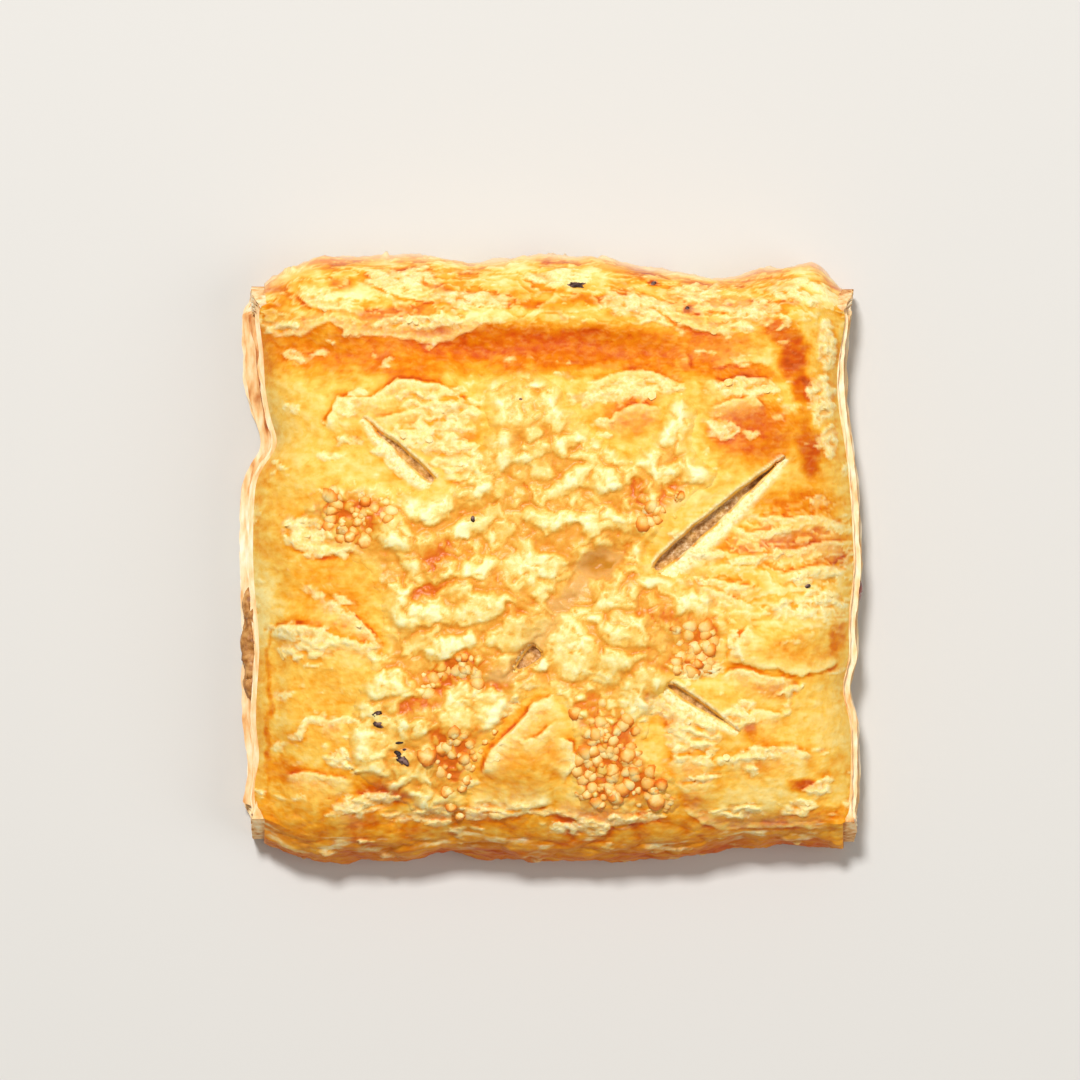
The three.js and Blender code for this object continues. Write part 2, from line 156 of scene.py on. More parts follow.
# Where it has blistered into beads.
BEAD_ZONES = [
    (-37.5, 8, 8.2, 5.5, 0), (21.5, 10, 5.1, 3.6, 30), (26, -17, 4.7, 5.5, 0), (-16, -36, 4.7, 5.5, 40),
    (11, -36.5, 7.3, 10.9, 10), (7, -29.5, 5.1, 4.4, 0), (-17.5, -21, 7.3, 2.9, 15), (19, -44, 4, 4, 0),
]
# Beads that stand out, as (x, y, radius).
BEADS = [
    (-10.3, -31.3, 0.8), (-11.9, -33.1, 0.8), (-12.7, -34.9, 0.8), (-13.7, -36, 0.9), (-14.3, -37.8, 1),
    (-15.3, -40.2, 1.1), (-16.1, -41.6, 1), (-18.8, -42.2, 1.4), (-18.1, -44.9, 1.3), (-16.5, -46.7, 1.1),
    (-18.5, -39.4, 0.8), (14, -35.6, 1.9), (11.3, -38.2, 1.6), (8.6, -36.4, 1.5), (7, -38.9, 1.3),
    (6.6, -42.7, 1.2), (9.1, -44.7, 1.1), (11, -42, 1.4), (19.1, -43.5, 2.2), (-33.7, 3.4, 1.9),
    (-40.1, 6.1, 1.5), (-37.7, 6.9, 1), (-35, 6.9, 1.2), (-36.3, 4.1, 1.3), (-22.5, -35.5, 2.1),
]

# Filling that has leaked out between the sheets: (x, y, z, radii, turn, roughness).
LEAKS = [
    (-55, -15.5, 5.2, (1.9, 9.5, 2.2), 0, 0.5), (-55.2, -9, 5, (1.6, 3.4, 1.8), 0, 0.4),
    (-55.1, -23, 5.2, (1.6, 3, 1.8), 0, 0.4),
]
DRIP = [(55.4, -5, 6.4, (2.2, 2.9, 2.4), 0, 0.15), (56, -6.8, 4.6, (1.5, 1.6, 2.6), 0, 0.1)]
# Burnt specks lying on the top.
SPECKS = [
    (-31.4, -28, None, (0.7, 0.4, 0.3), 20, 1), (-31, -30, None, (1.1, 0.5, 0.35), -10, 1),
    (-27.4, -33.3, None, (0.9, 0.22, 0.3), 5, 0.8), (-27.2, -36.2, None, (1.5, 0.75, 0.5), -40, 1.1),
    (-26.5, -34.6, None, (0.4, 0.25, 0.3), 0, 0.4), (4.4, 49.6, None, (1.2, 0.8, 0.4), -5, 1.1),
    (5.6, 50.2, None, (0.8, 0.3, 0.3), 10, 0.9), (18.8, 50.3, None, (0.6, 0.4, 0.3), 30, 0.4),
    (24.9, 45.6, None, (0.4, 0.4, 0.3), 0, 0.4), (-14.1, 7.2, None, (0.4, 0.6, 0.3), 0, 0.4),
    (-5.4, 28.9, None, (0.35, 0.2, 0.2), 0, 0.4), (46.5, -5, None, (0.7, 0.4, 0.3), 20, 0.4),
]

# Torn and flaky places of the top skin, as (x, y, half-length, half-width, turn).
TORN = [
    (-27.5, 51.5, 6.2, 2.5, 3), (-40, 47, 4.4, 1.6, -15), (-49, 42, 3.3, 0.9, 0), (-14.5, 47, 7.3, 1.5, -5),
    (-23.5, 43, 10.9, 1.3, 2), (1.5, 51.5, 5.5, 1.8, 0), (16, 46, 7.3, 2.2, -12), (27, 49, 4.5, 2.4, 0),
    (35.5, 44, 6.2, 2.5, 20), (45.5, 49, 5.5, 2.5, 0), (50.5, 39, 1.8, 4.7, 0), (49.5, 29, 2.5, 4.7, 0),
    (51, 21.5, 1.6, 2.9, 0), (-36, 28.5, 3.6, 2.2, 40), (-20, 28, 7.3, 2.9, -8), (-22, 23.5, 7.3, 2.9, 10),
    (-17.5, 19, 5.5, 3.6, -20), (-27.5, 17, 6.2, 1.5, -42), (-40, 18.5, 2.5, 0.7, 0),
    (-36.5, 21, 2.5, 0.5, 5), (-44.5, 4.5, 4.7, 2.9, -30), (-40, 1, 5.5, 0.7, 0), (-40, -7, 3.6, 0.7, -12),
    (-36.5, -10.5, 4, 0.9, -40), (-43, -14, 8.7, 1.6, -6), (-45.5, -16.5, 5.5, 1.5, 0),
    (-32.5, -15.5, 1.6, 2.2, 0), (-45, -30.5, 1.8, 0.9, 60), (-46, -32.5, 1.5, 0.9, 0),
    (-40, -29.5, 4, 0.9, 0), (-38.5, -36.5, 2.5, 1.8, 0), (-36.5, -45, 3.6, 2.2, -10),
    (-31.5, -44, 3.6, 1.5, 0), (-22, -46.5, 4.4, 2.2, 0), (-9, -46, 7.3, 1.3, 0), (8, -48.5, 8, 1.6, 4),
    (25.5, -36, 5.1, 1.1, 8), (27, -40, 3.6, 0.9, 12), (38, -35.5, 7.3, 1.1, 8), (45, -45.5, 3.1, 1.5, 0),
    (49, -42, 2.5, 1.5, 0), (34.5, -46, 5.5, 1.1, 0), (13.5, 30.5, 9.4, 2.2, 8), (35, 31, 6.2, 1.5, 8),
    (31, 23.5, 2.5, 1.8, 0), (39, 4.5, 4.4, 0.7, 12), (27, 1, 4.7, 1.1, 5), (37, 0, 7.3, 0.7, 8),
    (48, -3, 4.7, 1.1, 10), (47, -8.5, 6.5, 2.5, 8), (33.5, -15.5, 0.9, 3.3, 15), (27, -20.5, 4.4, 1.8, 20),
    (21.5, -28, 7.3, 1.3, -32), (25.5, -32, 4.4, 3.6, 0), (34.5, -28, 3.3, 2.2, 0), (-9, -28, 4, 1.3, 40),
    (-14.5, -25.5, 2.5, 1.1, 30),
]
# How brown the oven made a place, as (x, y, half-length, half-width, turn, browning from 0 to 1).
BAKED = [
    (-45.5, 37, 8, 3.6, 0, 0.56), (-27.5, 37, 11, 3.4, -4, 0.6), (-9, 39, 11, 1.8, 3, 0.7),
    (3.5, 40, 9, 1.5, 0, 0.72), (16, 38.5, 9.1, 1.6, -8, 0.66), (31, 34.5, 9.1, 1.6, -8, 0.6),
    (44, 37.6, 2.6, 4.6, 8, 0.78), (46.3, 31, 1.9, 2.8, 0, 0.72), (46, 25.5, 1.6, 3, 0, 0.5),
    (47.3, 18.8, 2, 4.2, 10, 0.74), (41.5, 41, 3, 1.6, -30, 0.66), (27, 47.5, 6, 2.6, -8, 0.46),
    (-47, 24, 5.5, 9, 0, 0.31), (-38.5, 50.5, 2.2, 1.5, 0, 0.55), (-31, 51, 1.8, 1.1, 0, 0.55),
    (-27.5, 45, 5.1, 1.1, 5, 0.6), (-20, 49, 1.8, 1.5, 0, 0.6), (-5.5, 46.5, 7.3, 0.9, -5, 0.6),
    (9, 47, 7.3, 1.1, 0, 0.58), (19, 50.5, 1.1, 0.7, 0, 0.85), (25, 45.5, 0.7, 0.7, 0, 0.85),
    (33.5, 46, 2.5, 0.9, -20, 0.6), (43.5, 47, 2.2, 0.9, 0, 0.62), (15, 26, 5.1, 4, 0, 0.5),
    (37, 23, 8, 5.2, 0, 0.66), (45.5, 10.5, 7.5, 3, 0, 0.55), (-40, -5.5, 8.4, 5.1, -10, 0.46),
    (-42, -24, 7.3, 4.4, 0, 0.4), (-51.5, -29.5, 0.45, 15.3, 0, 0.57), (-45.5, -44, 6.2, 5.5, -20, 0.4),
    (-48.5, -38.5, 2.5, 2.5, 0, 0.58), (-29, -42, 6.2, 2.5, 0, 0.66), (-5.5, -38.5, 7.3, 2.9, 5, 0.45),
    (45.5, 3.5, 8, 1.6, -5, 0.56), (38, 2, 8, 1.3, -8, 0.55), (52.5, 0, 1.8, 1.6, 0, 0.66),
    (45.5, -16.5, 8, 2.5, 0, 0.42), (48.5, -8.5, 6, 4, 0, 0.2), (49, -28.5, 4.7, 4.7, 0, 0.3),
    (40, -24, 3.6, 1.5, 10, 0.5), (22, -29.5, 1.8, 1.5, 0, 0.62), (36.5, -31, 1.3, 1.6, 0, 0.62),
    (25.5, -44, 2.5, 1.5, 0, 0.55), (38, -44, 8, 2.5, 12, 0.24), (46.5, -41.5, 3.3, 1.1, -5, 0.7),
    (41, -48.5, 2.2, 0.9, 0, 0.66), (52.5, -14.5, 1.5, 3.6, 0, 0.55),
]

# Edges of lifted layers, as (lift, how far it takes to settle, paleness, then x and y of each point in turn).
# The left side is lifted.
LEDGES = [
    (0.6, 4, 1, -14.3, 27.8, -16.3, 29.4, -20.1, 31.9, -27.9, 32.7, -32.5, 29.4, -38.7, 29.4, -41.3, 23.5),
    (0.35, 1.6, 0.8, -11.6, 26.3, -16.7, 28.8, -22.5, 28.2, -27.9, 26.3, -32.5, 25.5),
    (0.3, 1.4, 0.7, -16.3, 23.9, -20.1, 25.1, -24.4, 23.2, -29.4, 22.8),
    (0.4, 3, 0.5, -20.1, 14.4, -16.3, 14, -11.6, 15.8, -9.7, 18.9),
    (0.15, 2, 0.7, -51.5, 40.6, -45.7, 40.8, -40.3, 43.1, -35.6, 40.6, -27.9, 40.4, -22.5, 39, -17.8, 39.8,
     -12.8, 42.5, -7, 43.3),
    (0.4, 1.3, 1, -46.9, 48.7, -43.8, 45.9, -38.7, 45.1, -34.1, 48.2),
    (0.35, 1.5, 0.7, -33.3, 50.3, -27.9, 47.8, -22.5, 46.8, -18.2, 48.3),
    (0.5, 1.1, 0.9, -48, 5.7, -46.9, 2, -41.1, 0.3, -36.4, 1.6, -33.3, 0.3),
    (0.4, 1.2, 0.6, -25.6, 6.1, -20.1, 7.7, -14.3, 10.4),
    (0.3, 2.4, 0.7, 23.8, 31.7, 20.7, 33.2, 16, 34.6, 10.6, 33.6, 5.9, 30.9),
    (0.3, 1.8, 0.2, 29.2, 34.4, 32.3, 35.4, 36.2, 35.8, 40.8, 34.8),
    (0.25, 2.5, 0.2, 25.7, 34, 25.1, 36.7, 23.8, 37.9),
    (0.45, 1.6, 0.9, 40.1, 32.5, 35, 33.2, 31.1, 32.1, 28, 32.8),
    (0.35, 1.5, 0.7, 39.3, 27.2, 37, 29.7, 33.1, 29, 28.4, 27.2),
    (0.3, 1.5, 0.6, 20.7, 27.4, 16, 28.2, 11.8, 26.6, 8.7, 23.5),
    (0.3, 1.2, 0.9, 52.1, 31.7, 49, 32.1, 47.6, 31.3),
    (0.3, 1, 0.8, 54.4, 6.1, 48.6, 8, 42.8, 7.7, 37, 7.8),
    (0.3, 1, 0.8, 44.7, 5.7, 40.1, 5.3, 36.2, 4.6, 33.1, 6.1),
    (0.3, 1, 0.8, 54, 3, 49.4, 3, 44.7, 1.8, 39.3, 2.2),
    (0.35, 1.2, 1, 31.5, 0.3, 27.6, 1.3, 24.5, 0.7, 21.8, -1.6),
    (0.35, 1.2, 0.7, 18.3, 46.4, 22.2, 43.3, 26.9, 41.4, 32.3, 40.6),
    (0.3, 1.2, 0.7, 24.5, 44.5, 29.2, 45.2, 33.9, 44.9, 38.1, 45.6),
    (0.7, 4, 1, -30.6, -15.1, -34.1, -15.5, -38.7, -13.9, -41.8, -12.7, -45.7, -11.8, -49.6, -12.2, -51.5,
     -14.3),
    (0.5, 1.2, 1, -30.6, -16.6, -32.5, -12.9, -36.4, -10, -41.8, -6.3),
    (0.4, 1.6, 0.6, -36.4, -28.6, -40.3, -29.4, -42.6, -31.3),
    (0.35, 1.5, 0.7, -35.6, -40.3, -39.9, -39.5, -44.6, -38.7, -48.8, -39.5),
    (0.5, 1.6, 1, -31.8, -44.1, -34.1, -43, -37.2, -44.5, -39.9, -44.5),
    (0.5, 2, 1, -15.5, -45.5, -8.9, -46.1, 0.8, -44.7),
    (0.75, 5, 1, 0.8, -24.2, -3.1, -26.3, -7, -31, -10.8, -34.4, -12.8, -39.5),
    (0.35, 1.5, 0.7, 0.8, -29.4, -2.3, -32.1, -6.2, -33.3),
    (0.6, 4, 0.8, 2.1, -40.8, 4.8, -37.5, 3.8, -33.3, 0.9, -31.7),
    (0.6, 5, 1, 36.2, -11.4, 33.5, -14.7, 32.1, -18.6),
    (0.55, 2.5, 0.3, 31.9, -18.7, 35.4, -19.1, 38.5, -20.2, 40.8, -19.8, 45.5, -21.3, 50.1, -20.3, 53.2,
     -18.6),
    (0.4, 2, 0.8, 44.7, -21.7, 39.3, -21.3, 35.8, -20.1, 32.3, -20.1, 30.4, -22),
    (0.45, 2.5, 0.9, 48.2, -35.8, 43.5, -34.2, 37.7, -34.4, 33.9, -35.8, 31.5, -37.9),
    (0.5, 1.8, 1, 30.7, -37.5, 28.4, -36, 23.8, -35.6, 20.7, -37.5),
    (0.3, 1.5, 0.7, 42.8, -28.2, 37.7, -27.3, 34.6, -29, 33.9, -31.3),
    (0.35, 1.6, 0.6, 29.6, -39.5, 26.1, -40.6, 23, -41.4),
    (0.4, 1.5, 0.9, 0.5, -46.5, 4, -47.4, 7.5, -49.4, 14.5, -48.4, 16.4, -46.8),
    (0.2, 1.6, 0.5, 23.8, -45.5, 27.6, -48.2, 31.5, -50.1, 37.7, -49.8, 44.7, -49.6, 50.5, -50.5),
    (0.3, 1, 0.8, 37.7, -5.4, 32.3, -4.2, 26.1, -3.1),
    (0.3, 1, 0.8, 37.7, -8.9, 33.9, -7.3, 30, -5.8, 25.3, -4.6),
    (0.4, 1.5, 1, 55.2, -8.1, 50.5, -7.5, 45.5, -8.5, 43.5, -10),
    (0.3, 1.2, 0.7, 54.4, -1.9, 49.4, -1.1, 44.7, -1.9, 40.8, -3.4),
]

# ---- How finely the pieces are divided ----
TOP_CELLS = (300, 292)
WALL_LEVELS = 54
UNDER_RINGS = 16
CHEESE_CELLS = (286, 300)
FILLING_CELLS = (170, 150)

# ---- Colours, as sRGB hex ----
CRUST_COLOURS = [  # from raw dough to burnt
    (0.00, "#fdf0ae"), (0.18, "#fde08a"), (0.34, "#f8c452"), (0.48, "#f0a024"), (0.62, "#e07a05"),
    (0.76, "#cf5306"), (0.88, "#b24408"), (1.00, "#55200c"),
]
TORN_COLOURS = [(0.28, "#f8cc76"), (0.42, "#fce094"), (0.58, "#feefb2"), (0.75, "#fff9d8")]
SLOPE_COLOURS = [(0.3, "#f0bf6c"), (0.42, "#fbdf98"), (0.58, "#fff1bd"), (0.75, "#fff9db")]
INSIDE_COLOURS = [(0.3, "#8a5a2c"), (0.46, "#b08350"), (0.58, "#cfa878"), (0.74, "#efdcb8")]
PLY_COLOURS = [
    (0.0, "#7d3415"), (0.2, "#c67a3f"), (0.36, "#efb877"), (0.5, "#fad7a2"), (0.64, "#fdebc6"),
    (0.78, "#fff6e2"),
]
# Lighter towards the top: painted highlight on a bead's top, painted shade at its foot.
BEAD_COLOURS = [  # from the foot of a bead to its top
    (0.0, "#dc6c14"), (0.3, "#ee8f2e"), (0.55, "#f8ad4a"), (0.8, "#fcc874"), (1.0, "#fee09a"),
]
# Its low end also stands for painted shade in the hollows and folds, its high end for painted highlight on
# the crests.
CHEESE_COLOURS = [  # from browned oil to pale crest
    (0.0, "#d8680a"), (0.14, "#e08012"), (0.30, "#e4982c"), (0.46, "#eaa83e"), (0.60, "#f3c25c"),
    (0.76, "#f9dc88"), (0.92, "#fdf2b6"),
]
FILLING_COLOURS = [(0.32, "#3b2413"), (0.46, "#6d4c30"), (0.58, "#93735a"), (0.72, "#bca58b")]
LEAK_COLOURS = [(0.35, "#965c24"), (0.5, "#bd8140"), (0.65, "#d69f5c")]
JUICE_COLOURS = [(0.35, "#5c1808"), (0.6, "#963416")]
BURNT_COLOURS = [(0.35, "#24130f"), (0.5, "#4a2c26"), (0.62, "#8a6a60")]


# ---- Noise and patches over a plane, in numpy ----
def ease(low, high, value):
    """0 up to low and 1 from high on, or the other way round, with a soft slope between."""
    share = np.clip((value - low) / (high - low), 0, 1)
    return share * share * (3 - 2 * share)


def ripple(x, y, size, seed):
    """Smooth noise from about -1 to 1, whose bumps are about size mm, or (along x, along y), across."""
    along_x, along_y = np.broadcast_to(size, 2)
    draw = np.random.default_rng(seed)
    order, slant = draw.permutation(256), draw.random(256) * 2 * np.pi
    px, py = np.asarray(x) / along_x, np.asarray(y) / along_y
    ix, iy = np.floor(px).astype(int), np.floor(py).astype(int)
    fx, fy = px - ix, py - iy

    def pull(dx, dy):
        turn = slant[order[(order[(ix + dx) & 255] + iy + dy) & 255]]
        return np.cos(turn) * (fx - dx) + np.sin(turn) * (fy - dy)

    across, up = ease(0, 1, fx), ease(0, 1, fy)
    near = pull(0, 0) * (1 - across) + pull(1, 0) * across
    far = pull(0, 1) * (1 - across) + pull(1, 1) * across
    return 1.5 * (near * (1 - up) + far * up)


def grain(x, y, size, seed, octaves=4):
    """Layered ripples, each half the size and half the height of the one before."""
    size = np.broadcast_to(size, 2)
    return sum(ripple(x, y, size / 2**k, seed + 17 * k) / 2**k for k in range(octaves)) / 1.6


def creases(x, y, size, seed, octaves=3):
    """Sharp crests, from 0 in the hollows to 1 on the crests, like crumpled skin."""
    size = np.broadcast_to(size, 2)
    crests = sum((1 - np.abs(ripple(x, y, size / 2**k, seed + 31 * k)) * 2) / 2**k for k in range(octaves))
    return np.clip(crests / (2 - 2.0 ** (1 - octaves)), 0, 1)


def domes(x, y, size, seed):
    """Round bumps about size mm across, packed together: height from 0 to 1, and a random share for each."""
    draw = np.random.default_rng(seed)
    order, spots = draw.permutation(256), draw.random((256, 3))
    px, py = x / size, y / size
    ix, iy = np.floor(px).astype(int), np.floor(py).astype(int)
    nearest, second, share = np.full(px.shape, 9.0), np.full(px.shape, 9.0), np.zeros(px.shape)
    for dx in (-1, 0, 1):
        for dy in (-1, 0, 1):
            spot = spots[order[(order[(ix + dx) & 255] + iy + dy) & 255]]
            away = np.hypot(ix + dx + spot[..., 0] - px, iy + dy + spot[..., 1] - py)
            closer = away < nearest
            second = np.where(closer, nearest, np.minimum(second, away))
            share = np.where(closer, spot[..., 2], share)
            nearest = np.where(closer, away, nearest)
    return np.sqrt(np.clip((second - nearest) * 1.6, 0, 1)), share


def ellipse(x, y, cx, cy, long, wide, turn):
    """0 at an ellipse's middle, 1 on its rim and more outside it."""
    angle = np.radians(turn)
    along = (x - cx) * np.cos(angle) + (y - cy) * np.sin(angle)
    across = (y - cy) * np.cos(angle) - (x - cx) * np.sin(angle)
    return np.hypot(along / long, across / wide)


def bell(t):
    """1 at 0, and less to both sides."""
    return np.exp(-(t**2))


def push(features, t):
    """How far a side is pushed out at t by its dents and bulges."""
    return sum(out * bell((t - at) / spread) for at, out, spread in features)


def swayed(x, y, by, size, seed_x, seed_y):
    """x and y moved by up to by mm, so that what is drawn over them has ragged edges."""
    return x + by * grain(x, y, size, seed_x), y + by * grain(x, y, size, seed_y)


def patches(x, y, places, far, near, rag=0.0):
    """1 well inside any of the ellipses, and 0 from far times their size on."""
    return np.max([ease(far, near, ellipse(x, y, *place) + rag) for place in places], 0)


# ---- The crust's surfaces, over u and v from -1 to 1 ----
EDGE_POWERS = (6, 4)
CORNER_POWER = 14
DOME_POWER = (7, 4)
RELIEF_FADE = 8
CORNER_IN = 1.7  # how far the corners are rounded off
END_IN = (2.2, 1.0)  # how far a fold's end lies in at its base, left and right, and how much more at its rim
END_LEAN = 0.9


def close_to(share, power):
    """Near 0 but for the shares close to -1 or 1, with the share's own sign."""
    return np.sign(share) * np.abs(share) ** power


def fold_share(u, v):
    """0 along a cut end, 1 along a fold, and a quick change between them at the corners."""
    a, b = np.abs(u) ** CORNER_POWER, np.abs(v) ** CORNER_POWER
    return b / (a + b + 1e-12)


def fold_wall(level, fold):
    """Height, inset and slant of a fold's round wall, at a level from 0, the base, to 1, the rim."""
    reach, middle, first, last = fold
    turn = np.radians(first + (last - first) * level)
    rise = (FOLD_RIM - middle) / np.sin(np.radians(last))
    return np.maximum(middle + rise * np.sin(turn), 0) * (level > 0), reach * (1 - np.cos(turn)), turn


def side_point(u, v, level, groove=0.0, proud=0.0):
    """x, y, z of the wall at a level from 0, the base, to 1, the rim. groove and proud move it in or out."""
    x, y = u * HALF_X, v * HALF_Y
    steps = np.linspace(0, 1, len(CUT_HEIGHTS))
    cut_z, cut_in = np.interp(level, steps, CUT_HEIGHTS), np.interp(level, steps, CUT_INSETS)
    front_z, front_in, front_turn = fold_wall(level, FRONT_FOLD)
    back_z, back_in, back_turn = fold_wall(level, BACK_FOLD)
    at_front = v < 0
    fold_z, fold_in = np.where(at_front, front_z, back_z), np.where(at_front, front_in, back_in)
    turn = np.where(at_front, front_turn, back_turn)
    turned = ease(0.3, 0.5, fold_share(u, v))
    cut_in = cut_in + (np.where(u < 0, *END_IN) + END_LEAN * level - cut_in) * turned
    upper = ease(0.48, 0.56, level) * (1 - turned)
    shrink = np.where(u < 0, push(LEFT_SHRINK, y), push(RIGHT_SHRINK, y)) * upper
    push_x = np.where(u < 0, push(LEFT_EDGE, y), push(RIGHT_EDGE, y)) - cut_in - shrink - groove
    push_y = np.where(at_front, push(FRONT_EDGE, x), push(BACK_EDGE, x)) - fold_in + proud * np.cos(turn)
    z = cut_z + (fold_z + proud * np.sin(turn) - cut_z) * fold_share(u, v)
    corner = CORNER_IN * np.abs(u * v) ** 16
    near_x, near_y = close_to(u, EDGE_POWERS[0]), close_to(v, EDGE_POWERS[1])
    return x + near_x * (push_x - corner), y + near_y * (push_y - corner), z


def top_point(u, v):
    """x, y, z of the top, without its fine relief."""
    x, y, rim = side_point(u, v, np.ones_like(u))
    dome = (1 - np.abs(u) ** DOME_POWER[0]) * (1 - np.abs(v) ** DOME_POWER[1])
    relief = sum(lift * bell(ellipse(x, y, *place)) for *place, lift in TOP_FORMS)
    relief = relief + 0.35 * np.sin(x / 4.3 + 1.2) * np.cos(y / 5.1 - 0.4)
    relief = relief + 0.25 * np.sin((x + 1.7 * y) / 4.1)
    fade = np.minimum(1, RELIEF_FADE * (1 - np.maximum(np.abs(u), np.abs(v))))
    return x, y, rim + (CROWN - rim) * dome + relief * fade


# ---- What covers the crust: tears, browning and slashes ----
SLASH_WALL = 0.62  # how far the steep side of a slash runs in, in mm
SNAP = 0.192  # half a cell: how far a point of the grid may be drawn onto an edge, in mm


def beside_slash(x, y, slash):
    """How far points lie across a slash, its half width and slope's width there, and where it is open."""
    (ax, ay), (bx, by), width, bevel, _ = slash
    length = np.hypot(bx - ax, by - ay)
    tx, ty = (bx - ax) / length, (by - ay) / length
    along = (x - ax) * tx + (y - ay) * ty
    across = (y - ay) * tx - (x - ax) * ty + 0.22 * ripple(along, 0 * along, 3.4, int(length * 10))
    middle = np.clip(along / length, 0, 1)
    spindle = 1.6 * middle**0.8 * (1 - middle) ** 0.22
    return across * np.sign(bevel), width / 2 * spindle, abs(bevel) * spindle, spindle > 0.12


def drawn_to_slashes(x, y):
    """The points' y, those beside a slash drawn onto its edges so that the cuts come out clean."""
    for slash in SLASHES:
        (ax, ay), (bx, by), _, bevel, _ = slash
        across, half, bank, open_here = beside_slash(x, y, slash)
        slant = (bx - ax) / np.hypot(bx - ax, by - ay) * np.sign(bevel)
        foot = np.maximum(half - SLASH_WALL, 0)
        move = np.full(x.shape, 9.0)
        for line in (half, -half, foot, -foot, half + bank):
            to_line = (line - across) / slant
            move = np.where(np.abs(to_line) < np.abs(move), to_line, move)
        y = y + move * (np.abs(move) < SNAP) * open_here
    return y


def slash_cover(x, y):
    """For each point, how deep the slashes cut there in mm, and how much it lies on their torn faces."""
    depth, slope = np.zeros_like(x), np.zeros_like(x)
    for slash in SLASHES:
        across, half, bank, open_here = beside_slash(x, y, slash)
        deep = slash[4] * (0.95 + 0.35 * grain(x, y, 4, 55, 2))
        sheer = np.clip((half - 0.02 - np.abs(across)) / (SLASH_WALL - 0.04), 0, 1) * open_here
        share = np.clip((across - half) / (bank + 1e-6), 0, 1)
        banked = 0.5 * (1 - share) ** 1.4 * (across >= half - 0.09) * (across < half + bank) * open_here
        lip = 0.4 * bell((np.abs(across) - half) / 0.9) * (across < 0) * (1 - sheer) * open_here
        depth = np.where(sheer + banked > 0, np.maximum(depth, np.maximum(sheer, banked) * deep), depth - lip)
        edge = ease(half + bank + 1.1, half + 0.7 * bank, across) * ease(-0.3, 0.0, across - half)
        rim = 0.8 * ease(half + 0.7, half + 0.1, -across) * ease(half - 0.1, half, -across)
        slope = np.maximum(slope, np.maximum(edge, rim) * open_here)
    return depth, slope


def torn_cover(x, y):
    """From 0, whole glazed skin, to 1, torn flaky dough."""
    wx, wy = swayed(x, y, 1.1, 3.5, 5, 6)
    torn = patches(wx, wy, TORN, 1.15, 0.8, 0.6 * grain(x, y, (2.6, 1.5), 7))
    return np.maximum(torn, 0.8 * ease(0.33, 0.5, grain(wx, wy, (6.5, 3.2), 8)))


def oven_cover(x, y):
    """Browning from 0 to 1, before the relief is counted in, with painted light along the left margin and
    painted shade towards the front.
    """
    wx, wy = x + 1.4 * grain(x, y, 5, 11), y + 1.0 * grain(x, y, 5, 12)
    back = ease(41.5, 45, y)
    bake_and_shade = (
        0.33 + 0.09 * grain(x, y, 14, 13) + 0.15 * grain(x, y, (6, 3.4), 14)
        + 0.06 * back + 0.5 * back * grain(x, y, (11, 4.2), 16)
        # Along the left margin: paler around y = -8, painted light where that slope turns from the lamp, a
        # little browner elsewhere. Towards the front: browner, painted shade on the slope turned from the
        # lamp.
        + (0.07 - 0.2 * bell((y + 8) / 9)) * ease(-46, -51, x) + 0.16 * ease(-43, -48, y)
    )
    edge = y + 1.6 * grain(x, y, (9, 4), 15)
    band = ease(31.5, 37, edge) * ease(44, 40.5, edge) * ease(42, 28, x)
    strongest = 0.59 + 0.12 * bell((x - 3) / 16) + 0.05 * grain(x, y, (14, 1.6), 17)
    bake_and_shade += (strongest - bake_and_shade) * 0.92 * band
    for *place, amount in BAKED:
        bake_and_shade += (amount - bake_and_shade) * ease(1.6, 0.5, ellipse(wx, wy, *place))
    return bake_and_shade


def ledge_cover(x, y):
    """The lift in mm of the layers that stand up, their pale edges, and the painted shadow line at their
    foot.
    """
    wx, wy = swayed(x, y, 0.45, 2.2, 51, 52)
    lift, pale, dark = np.zeros((3, *x.shape))
    for height, settle, paleness, *path in LEDGES:
        best, signed, along = np.full(x.shape, 1e9), 0 * x, 0 * x
        done = 0.0
        points = list(zip(path[::2], path[1::2]))
        for (ax, ay), (bx, by) in zip(points, points[1:]):
            length = np.hypot(bx - ax, by - ay)
            tx, ty = (bx - ax) / length, (by - ay) / length
            t = np.clip((wx - ax) * tx + (wy - ay) * ty, 0, length)
            away = np.hypot(wx - ax - t * tx, wy - ay - t * ty)
            side = np.sign((wy - ay) * tx - (wx - ax) * ty)
            closer = away < best
            best = np.where(closer, away, best)
            signed = np.where(closer, side * away, signed)
            along = np.where(closer, done + t, along)
            done += length
        taper = ease(0, 2.2, along) * ease(done, done - 2.2, along)
        behind = np.maximum(signed, 0)
        lift += height * taper * ease(-0.12, 0.25, signed) * np.exp(-behind / settle)
        pale = np.maximum(pale, paleness * taper * ease(-0.1, 0.25, signed) * np.exp(-behind / 1.6))
        # A painted shadow along the foot of each lifted edge.
        foot = bell((signed + 0.3) / 0.32) * ease(-0.5, 0.4, grain(x, y, 3, 56))
        dark = np.maximum(dark, min(1, height / 0.5) * taper * foot)
    return lift, pale, dark


def terraces(x, y, size, seed, steps):
    """Ragged flat steps like peeled layers: height from about -1 to 1, their lips, which get a painted
    highlight, and their feet, which get painted shade.
    """
    level = grain(x, y, size, seed) * steps
    share = level - np.floor(level)
    height = (np.floor(level) + ease(0, 0.2, share)) / steps
    lip = ease(0.08, 0.2, share) * ease(0.55, 0.25, share)
    foot = ease(0.82, 0.97, share) + ease(0.08, 0.0, share)
    return height, lip, foot


def blurred(field, cells, reach):
    """A field over a grid, averaged over a few cells each way."""
    columns, rows = cells
    square = field.reshape(rows + 1, columns + 1)
    for _ in range(4):  # each axis twice, as each round turns the grid over
        total = np.cumsum(np.pad(np.pad(square, ((reach, reach), (0, 0)), mode="edge"), ((1, 0), (0, 0))), 0)
        square = ((total[2 * reach + 1 :] - total[: -2 * reach - 1]) / (2 * reach + 1)).T
    return square.ravel()


